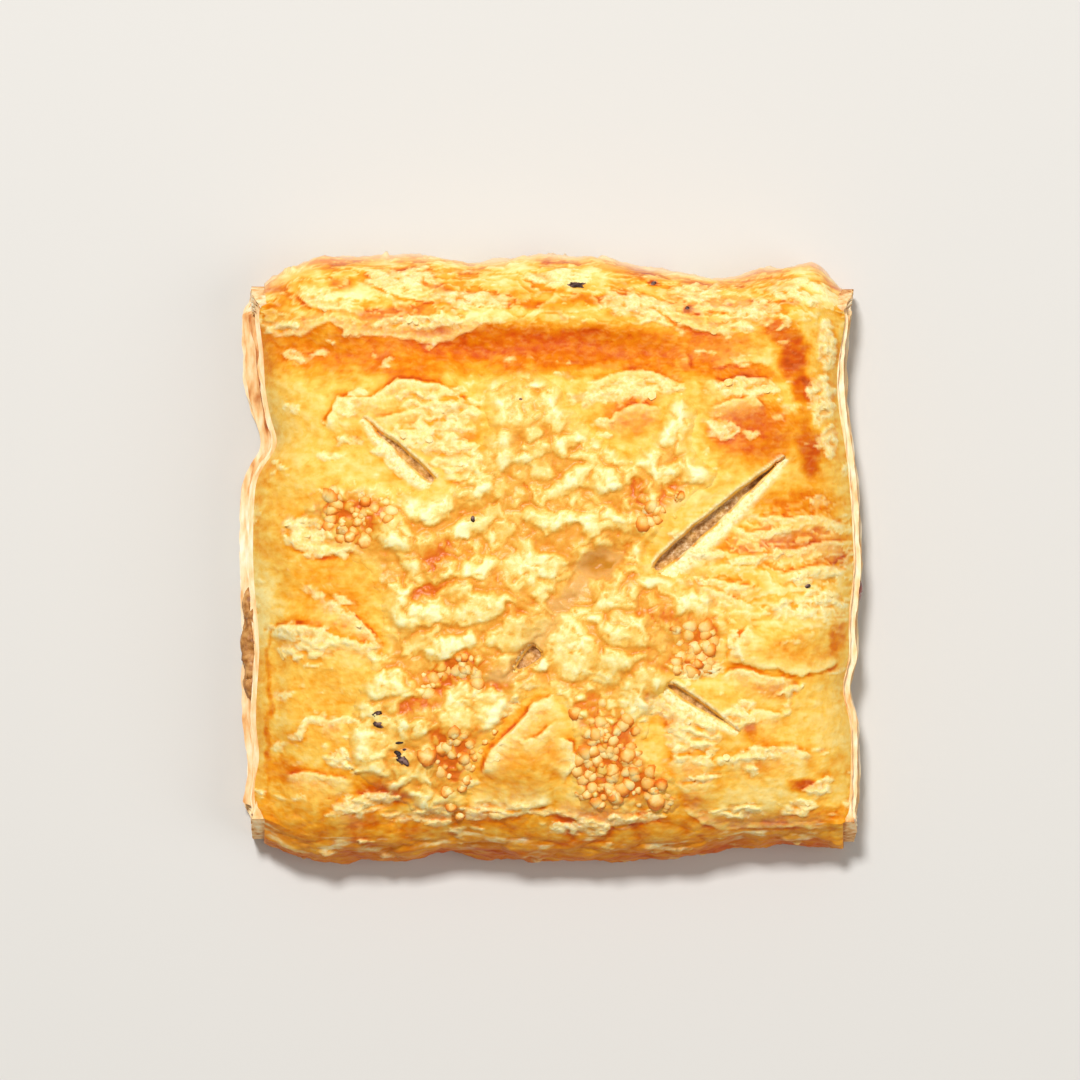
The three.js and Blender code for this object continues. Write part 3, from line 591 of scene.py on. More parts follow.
def skin_relief(x, y, cells):
    """The top skin's fine relief in mm, its browning with painted shade and highlight laid in, and how torn
    it is, also paled by painted highlight.
    """
    torn, bake_and_shade = torn_cover(x, y), oven_cover(x, y)
    lift, pale, dark = ledge_cover(x, y)
    crumple = creases(*swayed(x, y, 1.4, 4, 21, 20), (4.6, 2.0), 22)
    torn = np.maximum(torn, 0.8 * pale)
    gap, share = domes(0.6 * x + 0.9 * grain(x, y, 2.4, 62), y + 1.1 * grain(x, y, 2.4, 63), 2.0, 64)
    plate = ease(0.05, 0.5, gap)
    line = creases(*swayed(x, y, 0.8, 2, 59, 60), (5.5, 2.2), 61, 2) ** 6
    line = line * np.clip(0.25 + torn, 0, 1)
    wx, wy = x + 0.8 * grain(x, y, 2.5, 19), y + 0.5 * grain(x, y, 2, 18)
    step, lip, foot = terraces(wx, wy, (8, 3.2), 23, 2.6)
    right = ease(22, 34, x) * ease(15, 6, np.abs(y + 2))
    streaky = np.clip(0.55 * ease(41, 45, y) + 0.7 * right + 0.5 * torn + 0.15, 0, 1)
    height = (
        0.30 * grain(x, y, 6, 24) + 0.14 * grain(x, y, 1.5, 25) + lift + 0.25 * torn
        + torn * (0.8 * (crumple - 0.55) + 0.6 * plate * (share - 0.35)) + 0.5 * streaky * step - 0.3 * line
    )
    hollow = blurred(height, cells, 3) - height
    # Painted shade laid into the browning: in the relief's hollows, where glaze also pools, in a line at the
    # foot of each lifted layer, at the feet of the terraces, in the hollows of the crumpled skin, along the
    # crease lines and between the plates; painted highlight on the terraces' lips.
    bake_and_shade = (
        bake_and_shade + 0.07 * grain(x, y, (2.4, 1.2), 26) + 0.28 * dark + streaky * (0.08 * foot - 0.10 * lip)
        + torn * (0.03 + 0.2 * (0.55 - crumple)) + 0.7 * np.clip(hollow, -0.2, 0.25) + 0.08 * line
        + 0.08 * torn * (1 - plate)
    )
    bake_and_shade -= 0.85 * np.maximum(bake_and_shade - 0.46, 0) * ease(0.1, 0.6, torn)
    # Paler on the crests of the crumpled skin and on the terraces' lips, painted highlight; less pale in
    # hollows, at the feet of lifted layers and on crease lines, painted shade.
    torn = np.maximum(torn * (0.2 + 0.75 * crumple + 0.4 * plate * share), pale)
    torn = np.clip(torn + 0.45 * streaky * lip, 0, 1)
    torn = torn * ease(0.45, 0.1, hollow + 0.5 * dark) * (1 - 0.6 * line)
    front = ease(-42.5, -47, y)
    pillow, _ = domes(x + 4.0 * grain(x, y, 8, 73), 1.5 * y + 3.0 * grain(x, y, 7, 74), 9.0, 75)
    height += front * (0.45 * (pillow - 0.6) + 0.5 * grain(x, y, (9, 5), 76))
    # Darker between the front roll's pillows: painted shade in their creases.
    return height, bake_and_shade + front * (0.15 * (1 - pillow) - 0.02), torn


# ---- The cheese ----
def closed_spline(points, steps):
    """A smooth closed outline through the points, Catmull-Rom."""
    p = np.array(points, float)
    t = np.linspace(0, 1, steps, endpoint=False)[:, None]
    before, after, last = np.roll(p, 1, 0), np.roll(p, -1, 0), np.roll(p, -2, 0)
    runs = [
        0.5 * (2 * b + (c - a) * t + (2 * a - 5 * b + 4 * c - d) * t**2 + (3 * b - a - 3 * c + d) * t**3)
        for a, b, c, d in zip(before, p, after, last)
    ]
    return np.concatenate(runs)


def inside_by(outline, x, y):
    """How far each point lies inside an outline, in mm, and less than 0 outside it."""
    flat_x, flat_y = x.ravel(), y.ravel()
    inside = np.zeros(flat_x.shape, bool)
    nearest = np.full(flat_x.shape, 1e9)
    for a, b in zip(outline, np.roll(outline, -1, 0)):
        crosses = (a[1] > flat_y) != (b[1] > flat_y)
        where = a[0] + (flat_y - a[1]) * (b[0] - a[0]) / (b[1] - a[1] + 1e-12)
        inside ^= crosses & (flat_x < where)
        nearest = np.minimum(nearest, (flat_x - a[0]) ** 2 + (flat_y - a[1]) ** 2)
    return (np.where(inside, 1, -1) * np.sqrt(nearest)).reshape(x.shape)


def random_lumps(count, seed):
    """Ellipses of the size of small curds, all over the cheese."""
    draw = np.random.default_rng(seed)
    low, high = np.min(CHEESE_OUTLINE, 0), np.max(CHEESE_OUTLINE, 0)
    return [
        (*draw.uniform(low, high), draw.uniform(1.2, 3.2), draw.uniform(0.8, 1.5), draw.uniform(-30, 60))
        for _ in range(count)
    ]


def heaps(x, y, places):
    """Round heaps over the ellipses, 1 at their middles and 0 from 1.4 times their size on."""
    return np.max([np.clip(1 - (ellipse(x, y, *place) / 1.4) ** 2, 0, 1) for place in places], 0)


def cheese_cover(x, y, cells):
    """The cheese's thickness in mm, less than 0 outside it, then from 0 to 1 its shade, with painted shade
    laid into its hollows and folds and painted highlight on its crests, and how much it is beady, murky or
    thin."""
    edge = inside_by(closed_spline(CHEESE_OUTLINE, 8), x, y) + 1.5 * grain(x, y, 4.0, 41)
    wx, wy = swayed(x, y, 2.0, 4.5, 42, 43)
    lump = np.maximum(heaps(wx, wy, CHEESE_LUMPS), 0.7 * heaps(wx, wy, random_lumps(70, 44)))
    beady = patches(wx, wy, BEAD_ZONES, 1.35, 0.7)
    smooth = patches(wx, wy, CHEESE_SMOOTH, 1.5, 0.8)
    oil = patches(wx, wy, CHEESE_PUDDLES, 1.5, 0.4)
    large, share = domes(wx, wy, 4.4, 46)
    middle, fill = domes(wx + 0.5 * grain(x, y, 2, 53), wy, 2.3, 54)
    small, size = domes(x + 0.4 * grain(x, y, 1.5, 45), y, 1.7, 47)
    lump = np.maximum(lump, large * share * 0.55 * (1 - beady))
    fold = creases(wx, wy, (5.0, 3.4), 58, 3) ** 5 * (1 - beady)
    crest = np.sqrt(lump) * (1 - 0.55 * oil) * (1 - 0.5 * beady)
    crest = crest + 0.24 * middle * fill * (1 - beady) - 0.3 * fold
    crest = (crest + small * size * (0.03 + 0.55 * beady)) * (1 - 0.85 * smooth)
    thick = -0.75 + 0.55 * ease(-1.5, 1.5, edge) + 0.35 * ease(-0.6, 3.2, edge)
    thick += (0.2 + 1.3 * crest + 0.2 * grain(x, y, 1.6, 48)) * ease(-1.0, 3.2, edge)
    level = np.maximum(thick, 0)
    hollow = (blurred(level, cells, 5) - level) * ease(0.0, 1.5, edge)
    # Darker in the hollows, partly oil that gathers there and partly painted shade; darker along the fold
    # lines, painted shade; paler on the crests, painted highlight.
    shade = (
        0.56 + 0.18 * grain(x, y, 10, 49) + 0.16 * grain(x, y, 2.4, 50)
        - (0.6 + 0.2 * oil) * np.clip(hollow, -0.5, 0.3) - 0.14 * fold - oil * (0.36 - 0.3 * small * size)
        + 0.2 * (crest - 0.5) - 0.24 * beady * (1 - small * size)
    )
    murk = 0 * x
    for *place, amount in CHEESE_MURK:
        cover = ease(1.5, 0.3, ellipse(wx, wy, *place))
        shade += ((0.62 if amount < 0.5 else 0.4) - shade) * 0.8 * cover
        murk = np.maximum(murk, amount * cover)
    return thick, shade, beady, murk, ease(3.6, 0.8, edge + 0.8 * grain(x, y, 2.5, 57) + 1.2 * (crest - 0.4))


# ---- Making pieces ----
def per_mm(size):
    """The scale of a texture whose pattern is size mm across."""
    return 1 / (size * MM)


def linear(colour):
    """An sRGB hex colour as linear red, green and blue."""
    parts = [int(colour[k : k + 2], 16) / 255 for k in (1, 3, 5)]
    return [p / 12.92 if p <= 0.04045 else ((p + 0.055) / 1.055) ** 2.4 for p in parts]


def add(tree, kind, inputs=None, stops=(), **settings):
    """Adds a node with its settings, inputs and ramp stops. A node as input links its first output in use."""
    node = tree.nodes.new(kind)
    for key, value in settings.items():
        setattr(node, key, value)
    for place, (position, colour) in enumerate(stops):
        elements = node.color_ramp.elements
        element = elements[place] if place < len(elements) else elements.new(position)
        element.position, element.color = position, (*linear(colour), 1)
    for key, value in (inputs or {}).items():
        if isinstance(value, bpy.types.Node):
            value = next(socket for socket in value.outputs if socket.enabled)
        if isinstance(value, bpy.types.NodeSocket):
            tree.links.new(value, node.inputs[key])
        else:
            node.inputs[key].default_value = value
    return node


def shown(name, data):
    """An object that holds this data, at the origin of the scene."""
    thing = bpy.data.objects.new(name, data)
    bpy.context.collection.objects.link(thing)
    return thing


def mesh_object(name, points, faces, fields=None, edges=(), crisp=()):
    """A mesh from points in mm, with an attribute for each field. crisp names the ring of a sharp edge."""
    mesh = bpy.data.meshes.new(name)
    mesh.from_pydata((np.asarray(points) * MM).tolist(), [tuple(e) for e in edges], [tuple(f) for f in faces])
    for field, values in (fields or {}).items():
        mesh.attributes.new(field, "FLOAT", "POINT").data.foreach_set("value", np.asarray(values, np.float32))
    mesh.polygons.foreach_set("use_smooth", [True] * len(mesh.polygons))
    mesh.update()
    on_ring = set(int(n) for n in crisp)
    for edge in mesh.edges if on_ring else ():
        edge.use_edge_sharp = edge.vertices[0] in on_ring and edge.vertices[1] in on_ring
    return shown(name, mesh)


def dress(piece, material, node):
    """Gives a piece its material, sets it to ride on the root body and hides the frame's part that it
    replaces.
    """
    piece.data.materials.clear()
    piece.data.materials.append(material)
    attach(piece, "root")
    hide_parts(node)


def grid(columns, rows, left=-1.0, right=1.0, low=-1.0, high=1.0):
    """u and v of the points of a grid of columns x rows cells, row by row."""
    v, u = np.meshgrid(np.linspace(low, high, rows + 1), np.linspace(left, right, columns + 1), indexing="ij")
    return u.ravel(), v.ravel()


def grid_faces(columns, rows):
    """The grid's quads."""
    j, i = np.meshgrid(np.arange(rows), np.arange(columns), indexing="ij")
    a = (j * (columns + 1) + i).ravel()
    return np.stack([a, a + 1, a + columns + 2, a + columns + 1], 1)


def ring_faces(lower, upper):
    """Quads between two closed rings of point numbers."""
    return np.stack([lower, np.roll(lower, -1), np.roll(upper, -1), upper], 1)


def border(columns, rows):
    """The grid's border, counter-clockwise seen from above: point numbers, and their u and v."""
    east, north = np.arange(columns), np.arange(rows)
    i = np.concatenate([east, 0 * north + columns, columns - east, 0 * north])
    j = np.concatenate([0 * east, north, 0 * east + rows, rows - north])
    return j * (columns + 1) + i, i / columns * 2 - 1, j / rows * 2 - 1


def fan(ring, tip):
    """Triangles from a ring to a point."""
    return [(a, b, tip) for a, b in zip(ring, np.roll(ring, -1))]


def clean_triangles(points, quads):
    """Triangles along the edges of the cuts: each quad's diagonal joins its corners of like height."""
    a, b, c, d = quads.T
    level = points[:, 2]
    first = np.abs(level[a] - level[c]) <= np.abs(level[b] - level[d])
    pairs = (((a, b, c), (a, b, d)), ((a, c, d), (b, c, d)))
    return np.concatenate([np.where(first, *pair).T for pair in pairs])


def crust_lid():
    """The top sheet: its skin, and the plain underside that lies over the filling."""
    x, y, z = top_point(*grid(*TOP_CELLS))
    y = drawn_to_slashes(x, y)
    height, bake_and_shade, torn = skin_relief(x, y, TOP_CELLS)
    cut, slope = slash_cover(x, y)
    skin = np.stack([x, y, z + height - cut], 1)
    ring, ring_u, ring_v = border(*TOP_CELLS)
    points, faces = [skin], [clean_triangles(skin, grid_faces(*TOP_CELLS))]
    above = ring
    for inward, drop in ((0.95, 0.55), (0.9, 1.0), (0.72, 1.0), (0.4, 1.0)):
        x, y, z = top_point(ring_u * inward, ring_v * inward)
        below = sum(map(len, points)) + np.arange(len(ring))
        points.append(np.stack([x, y, z - ROOF * drop], 1))
        faces.append(ring_faces(below, above))
        above = below
    tip = sum(map(len, points))
    points.append([[0, 0, CROWN - ROOF]])
    fields = {"bake_and_shade": bake_and_shade, "torn": torn, "cut": cut / 5, "slope": slope, "rim": 0 * cut}
    fields = {key: np.pad(values, (0, tip + 1 - len(skin))) for key, values in fields.items()}
    faces = [tuple(f) for part in faces for f in part] + [(b, a, tip) for a, b, tip in fan(above, tip)]
    return mesh_object("crust_top_sheet", np.concatenate(points), faces, fields, crisp=ring)


def crust_case():
    """The folds, the cut ends behind their plies, and the baked underside."""
    _, u, v = border(*TOP_CELLS)
    count, steps = len(u), WALL_LEVELS + 1
    level = np.repeat(np.linspace(0, 1, steps), count)
    u_all, v_all = np.tile(u, steps), np.tile(v, steps)
    on_fold = ease(0.2, 0.5, fold_share(u_all, v_all))
    on_front, on_back = on_fold * (v_all < 0), on_fold * (v_all > 0)
    path = np.stack(side_point(u_all, v_all, level), 1).reshape(steps, count, 3)
    run = np.linalg.norm(np.diff(path, axis=0), axis=2)
    down = np.concatenate([np.cumsum(run[::-1], 0)[::-1], np.zeros((1, count))]).ravel()  # mm below the rim
    flat_x = np.tile(path[-1, :, 0], steps) + np.sign(u_all) * down * (1 - on_fold)
    flat_y = np.tile(path[-1, :, 1], steps) + np.sign(v_all) * down * on_fold
    height, bake_and_shade, torn = skin_relief(flat_x, flat_y, (count - 1, WALL_LEVELS))
    near_rim, near_base = ease(0.8, 1, level), ease(0.25, 0.0, level)
    tall = np.interp(level, np.linspace(0, 1, len(CUT_HEIGHTS)), CUT_HEIGHTS)
    parted = 5.5 * bell((tall - PARTING) / 0.75) * (1 - on_fold)
    groove = (2.3 * (1 - level**12) + parted) * ease(0.5, 0.477, fold_share(u_all, v_all))
    fibres = grain(flat_x, down, (9, 1.3), 67)
    swell = grain(flat_x, down, (8, 13), 66)
    low = ease(1, 8, down)
    height = (height + low * (1.3 * swell + 0.25 * fibres)) * (1 - near_base)
    edge = bell(fold_wall(level, BACK_FOLD)[2] / 0.36) * on_back + bell(tall / 0.22) * on_front
    x, y, z = side_point(u_all, v_all, level, groove, height * (1 - near_rim) * on_fold)
    z = z + height * near_rim
    ragged = down + 2.2 * grain(flat_x, down, (5, 3), 68)
    # The front wall browner towards its foot, partly browning and partly painted shade as it faces away from
    # the lamp, and paler on its swells, painted highlight.
    browned = 0.48 + 0.18 * ease(1, 9, ragged) - 0.16 * swell
    bake_and_shade += (browned - bake_and_shade) * 0.85 * (ease(0.5, 6, ragged) * (v_all < 0) * on_fold)
    bake_and_shade += 0.2 * low * fibres * on_fold
    chipped = ease(0.1, 0.45, grain(flat_x, down, (6, 2.2), 69)) * ease(11, 3, down)
    torn = np.maximum(torn, 0.9 * chipped * (v_all < 0))
    # Dark brown behind the plies, darker still at the parting of the sheets: painted shade in these recesses.
    bake_and_shade += (0.66 + 0.25 * bell(tall - PARTING) - bake_and_shade) * (1 - on_fold) * (1 - near_rim)
    bake_and_shade -= 0.3 * near_base * on_fold * (v_all > 0)
    torn = torn * np.maximum(on_fold, near_rim) * (1 - near_base)
    base_x, base_y, _ = side_point(u, v, 0 * u)
    points, shades = [], []
    for inward in np.linspace(0.08, 0.985, UNDER_RINGS):  # underside, from the middle outwards
        under = base_x * inward, base_y * inward
        points.append(np.stack([*under, 0 * u], 1))
        shades.append(0.58 + 0.12 * grain(*under, 9, 61) + 0.1 * grain(*under, 2.5, 62))
    points.append(np.stack([x, y, z], 1))
    for inward, floor in ((0.9, CUT_RIM - ROOF), (0.86, FLOOR), (0.4, FLOOR)):  # inside, under the filling
        points.append(np.stack([path[-1, :, 0] * inward, path[-1, :, 1] * inward, np.full(count, floor)], 1))
    points = np.concatenate([*points, [[0, 0, 0], [0, 0, FLOOR]]])
    tip, inside = len(points) - 2, len(points) - 1
    rings = np.arange(tip).reshape(-1, count)
    faces = [tuple(f) for lower, upper in zip(rings, rings[1:]) for f in ring_faces(lower, upper)]
    faces += [(b, a, tip) for a, b, _ in fan(rings[0], tip)] + fan(rings[-1], inside)
    hidden = (UNDER_RINGS * count, 3 * count + 2)
    fields = {"torn": torn, "rim": edge, "cut": 0 * edge, "slope": 0 * edge}
    fields = {key: np.pad(values, hidden) for key, values in fields.items()}
    fields["bake_and_shade"] = np.concatenate([*shades, bake_and_shade, np.zeros(3 * count), [0.6, 0]])
    return mesh_object("crust_folds_and_base", points, faces, fields, crisp=rings[UNDER_RINGS + WALL_LEVELS])


def ply_guides():
    """Closed loops along each cut end, nested from its outside to its parting, as edges to be thickened."""
    draw = np.random.default_rng(81)
    run, climb = np.linspace(-1, 1, PLY_STEPS), np.linspace(0, 1, 18)[1:-1]
    v = np.concatenate([run, np.full(16, 1.0), run[::-1], np.full(16, -1.0)])
    level = np.concatenate([0 * run, climb, 0 * run + 1, climb[::-1]])
    points, edges, bake_and_shade = [], [], []
    for side, waves, narrower in ((-1, LEFT_EDGE, LEFT_SHRINK), (1, RIGHT_EDGE, RIGHT_SHRINK)):
        _, outer_y, outer_z = side_point(np.full(len(v), side * 0.95), v, level)
        turned = ease(45, 50, np.abs(outer_y))
        upper = ease(PARTING - 1, PARTING + 1, outer_z)
        straight = np.minimum(np.abs(outer_y), PLY_TURN)
        for keep in PLY_SIZES:
            share = keep * (1 - 0.07 * turned)
            y = np.sign(outer_y) * (straight + (np.abs(outer_y) - straight) * share)
            z = PARTING + (outer_z - PARTING) * share + 0.25 * (2 * upper - 1)
            leaning = END_IN[side > 0] - 0.7 + END_LEAN * z / FOLD_RIM + 0.3 * (1 - keep)
            inset = np.interp(z, CUT_HEIGHTS, CUT_INSETS) * 0.85 * (1 - turned) + leaning * turned
            gape = np.exp(-(((y - 33) / 9) ** 4)) if side < 0 else 0.2 * bell((y - 20) / 12)
            gape = gape * ease(1.7, 0.9, np.abs(z - PARTING))
            inset = inset + 1.5 * gape
            shrink = push(narrower, y) * upper * (1 - turned)
            reach = draw.uniform(-0.3, 0.3) * (1 - turned) - (0.9 if side < 0 else 0.3) * upper * (1 - turned)
            rounded = 2.4 * (y / 54) ** 40
            x = side * (HALF_X + push(waves, y) - inset - shrink + reach - PLY_DEPTH / 2 - rounded)
            number = sum(map(len, points)) + np.arange(len(y))
            points.append(np.stack([x, y, z], 1))
            edges.extend(zip(number, np.roll(number, -1)))
            floury = bell((y - 1) / 9) if side < 0 else 0 * y
            crusty = 0.4 * turned * (keep == PLY_SIZES[0])
            # Darker where the sheets gape apart: painted shade in the gap.
            bake_and_shade.append(draw.uniform(0.15, 0.6) + 0 * y - 0.45 * floury + 0.8 * gape + crusty)
    return mesh_object("ply_guides", np.concatenate(points), [], {"bake_and_shade": np.concatenate(bake_and_shade)}, edges)


# ---- Geometry node groups, for what repeats or follows a surface ----
def node_group(name, sockets):
    """An empty geometry group with these inputs after its geometry, and the sockets that give them."""
    tree = bpy.data.node_groups.new(name, "GeometryNodeTree")
    tree.interface.new_socket("Geometry", in_out="INPUT", socket_type="NodeSocketGeometry")
    for label, kind in sockets.items():
        tree.interface.new_socket(label, in_out="INPUT", socket_type="NodeSocket" + kind)
    tree.interface.new_socket("Geometry", in_out="OUTPUT", socket_type="NodeSocketGeometry")
    return tree, add(tree, "NodeGroupInput").outputs


def finish_group(tree, geometry, material):
    """Realizes what the group made, gives it its material and sends it out."""
    real = add(tree, "GeometryNodeRealizeInstances", {"Geometry": geometry})
    skin = add(tree, "GeometryNodeSetMaterial", {"Geometry": real, "Material": material})
    add(tree, "NodeGroupOutput", {"Geometry": skin})
    return tree


def grown(name, base, tree, values):
    """What a geometry group grows from an object, as a plain object of its own."""
    modifier = base.modifiers.new(name, "NODES")
    modifier.node_group = tree
    for socket in tree.interface.items_tree:
        if socket.name in values:
            modifier[socket.identifier] = values[socket.name]
    mesh = bpy.data.meshes.new_from_object(base.evaluated_get(bpy.context.evaluated_depsgraph_get()))
    base.modifiers.remove(modifier)
    return shown(name, mesh)


def bent(tree, shape, place, size, detail, amount, scale):
    """Moves a shape's points by a noise of this size in mm, read at place, up to half of amount x scale."""
    noise = add(tree, "ShaderNodeTexNoise", {"Vector": place, "Scale": per_mm(size), "Detail": detail})
    offset = {0: noise.outputs["Color"], 1: (0.5, 0.5, 0.5)}
    offset = add(tree, "ShaderNodeVectorMath", offset, operation="SUBTRACT")
    offset = add(tree, "ShaderNodeVectorMath", {0: offset, 1: amount}, operation="MULTIPLY")
    offset = add(tree, "ShaderNodeVectorMath", {0: offset, "Scale": scale}, operation="SCALE")
    return add(tree, "GeometryNodeSetPosition", {"Geometry": shape, "Offset": offset})


def ply_group():
    """Thin ragged sheets along the guide loops, flat side up."""
    sizes = dict.fromkeys(("Depth", "Thickness", "Waviness"), "Float")
    tree, given = node_group("plies", {**sizes, "Material": "Material"})
    curve = add(tree, "GeometryNodeMeshToCurve", {"Mesh": given["Geometry"]})
    place = add(tree, "GeometryNodeInputPosition")
    stretched = add(tree, "ShaderNodeVectorMath", {0: place, 1: (0.3, 0.35, 2.2)}, operation="MULTIPLY")
    wavy = bent(tree, curve, stretched, 1.8, 4, (2.4, 0.3, 0.7), given["Waviness"])
    level = add(tree, "GeometryNodeSetCurveNormal", {"Curve": wavy, "Normal": (1, 0, 0)}, mode="FREE")
    section = {"Width": given["Depth"], "Height": given["Thickness"]}
    section = add(tree, "GeometryNodeCurvePrimitiveQuadrilateral", section)
    swept = {"Curve": level, "Profile Curve": section, "Fill Caps": True}
    sheet = add(tree, "GeometryNodeCurveToMesh", swept)
    return finish_group(tree, sheet, given["Material"])


def scatter_group(name, field, shape):
    """Many small copies of a shape over a surface, thick where a field of it is high, turned at random."""
    sizes = dict.fromkeys(("Density", "Smallest", "Largest", "Tilt", "Sink"), "Float")
    tree, given = node_group(name, {**sizes, "Seed": "Int", "Material": "Material"})
    share = add(tree, "GeometryNodeInputNamedAttribute", {"Name": field}, data_type="FLOAT")
    dense = add(tree, "ShaderNodeMath", {0: share, 1: 3.0}, operation="POWER")
    normal = add(tree, "ShaderNodeSeparateXYZ", {"Vector": add(tree, "GeometryNodeInputNormal")})
    outside = add(tree, "ShaderNodeMath", {0: normal.outputs["Z"], 1: 0.1}, operation="GREATER_THAN")
    for factor in (outside, given["Density"]):
        dense = add(tree, "ShaderNodeMath", {0: dense, 1: factor}, operation="MULTIPLY")
    spread = {"Mesh": given["Geometry"], "Density": dense, "Seed": given["Seed"]}
    scatter = add(tree, "GeometryNodeDistributePointsOnFaces", spread, distribute_method="RANDOM")
    tilt = add(tree, "ShaderNodeCombineXYZ", {"X": given["Tilt"], "Y": given["Tilt"], "Z": 3.2})
    back = add(tree, "ShaderNodeVectorMath", {0: tilt, "Scale": -1.0}, operation="SCALE")
    angle = {0: back, 1: tilt, "Seed": given["Seed"]}
    angle = add(tree, "FunctionNodeRandomValue", angle, data_type="FLOAT_VECTOR")
    turn = add(tree, "FunctionNodeEulerToRotation", {0: angle})
    turn = {"Rotation": scatter.outputs["Rotation"], "Rotate By": turn}
    turned = add(tree, "FunctionNodeRotateRotation", turn, rotation_space="LOCAL")
    size = {2: given["Smallest"], 3: given["Largest"], "Seed": 5}
    size = add(tree, "FunctionNodeRandomValue", size, data_type="FLOAT")
    copies = {"Points": scatter, "Instance": shape(tree), "Rotation": turned, "Scale": size}
    placed = add(tree, "GeometryNodeInstanceOnPoints", copies)
    lowered = {"Instances": placed, "Translation": add(tree, "ShaderNodeCombineXYZ", {"Z": given["Sink"]})}
    sunk = add(tree, "GeometryNodeTranslateInstances", {**lowered, "Local Space": True})
    own = add(tree, "FunctionNodeRandomValue", {2: 0.36, 3: 0.7, "Seed": 9}, data_type="FLOAT")
    named = {"Geometry": sunk, "Name": "own", "Value": own}
    marked = add(tree, "GeometryNodeStoreNamedAttribute", named, data_type="FLOAT", domain="INSTANCE")
    return finish_group(tree, marked, given["Material"])


def flake_shape(tree):
    """A chip of dry dough, 2 mm across and thin, with a ragged edge and a bend."""
    size = {"Vertices": 9, "Radius": 1 * MM, "Depth": 0.13 * MM}
    chip = add(tree, "GeometryNodeMeshCylinder", size, fill_type="TRIANGLE_FAN")
    return bent(tree, chip, add(tree, "GeometryNodeInputPosition"), 1.1, 2, (1.4, 1.4, 1.0), MM)


def bead_shape(tree):
    """A blister of 1 mm radius, a little out of round. Its points know how high they lie, from -1 to 1."""
    globe = add(tree, "GeometryNodeMeshUVSphere", {"Segments": 10, "Rings": 6, "Radius": 1 * MM})
    place = add(tree, "GeometryNodeInputPosition")
    height = add(tree, "ShaderNodeSeparateXYZ", {"Vector": place}).outputs["Z"]
    share = add(tree, "ShaderNodeMath", {0: height, 1: 1 / MM}, operation="MULTIPLY")
    named = {"Geometry": globe, "Name": "lift", "Value": share}
    marked = add(tree, "GeometryNodeStoreNamedAttribute", named, data_type="FLOAT", domain="POINT")
    lumpy = bent(tree, marked, place, 1.6, 1, (1.2, 1.2, 0.4), MM)
    return add(tree, "GeometryNodeSetShadeSmooth", {"Geometry": lumpy})


def cheese_sheet():
    """The melted cheese: its cragged face, and the underside that sinks into the crust."""
    x, y, z = top_point(*grid(*CHEESE_CELLS, -0.86, 0.66, -0.93, 0.70))
    height, bake_and_shade, torn = skin_relief(x, y, CHEESE_CELLS)
    cut, _ = slash_cover(x, y)
    thick, shade, beady, murk, thin = cheese_cover(x, y, CHEESE_CELLS)
    keep = (thick > -0.7) & (cut < 1.0)
    face = np.stack([x, y, z + (0.55 + 0.45 * thin) * height + thick - 1.2 * np.maximum(cut, 0)], 1)
    quads = grid_faces(*CHEESE_CELLS)
    quads = quads[keep[quads].all(1)]
    used = np.unique(quads)
    number = np.full(len(x), -1)
    number[used] = np.arange(len(used))
    quads = number[quads]
    upper = face[used]
    lower = upper - [0, 0, 1.2]
    edges = np.concatenate([quads[:, [k, (k + 1) % 4]] for k in range(4)])
    known = {tuple(e) for e in edges.tolist()}
    rim = np.array([e for e in known if (e[1], e[0]) not in known])
    side = np.stack([rim[:, 1], rim[:, 0], rim[:, 0] + len(used), rim[:, 1] + len(used)], 1)
    faces = np.concatenate([quads, quads[:, ::-1] + len(used), side])
    beady = beady * (thick > 0.4)
    fields = {"shade": shade, "beady": beady, "murk": murk, "thin": thin, "bake_and_shade": bake_and_shade, "torn": torn}
    fields = {key: np.tile(values[used], 2) for key, values in fields.items()}
    return mesh_object("melted_cheese_sheet", np.concatenate([upper, lower]), faces, fields)


def filling_pad():
    """The filling's pad through the pastry, lumpy where the slashes show it."""
    u, v = grid(*FILLING_CELLS)
    x, y = u * 50, v * (46.5 - 6 * np.abs(u) ** 4)
    full = (1 - u**4) * (1 - v**8)
    lumps, share = domes(x, y, 2.4, 71)
    cut, _ = slash_cover(x, y)
    _, _, skin = top_point(x / HALF_X, y / HALF_Y)
    top = PARTING + 0.4 + (skin - ROOF + 0.6 - PARTING) * full
    top += (1.3 * lumps * share + 0.4 * grain(x, y, 1.2, 72)) * full * (0.3 + 0.7 * (cut > 0))
    points = np.concatenate([np.stack([x, y, top], 1), np.stack([x, y, np.full(len(x), PARTING - 0.4)], 1)])
    faces = grid_faces(*FILLING_CELLS)
    ring, _, _ = border(*FILLING_CELLS)
    faces = np.concatenate([faces, faces[:, ::-1] + len(x), ring_faces(ring + len(x), ring)])
    return mesh_object("filling_pad", points, faces)


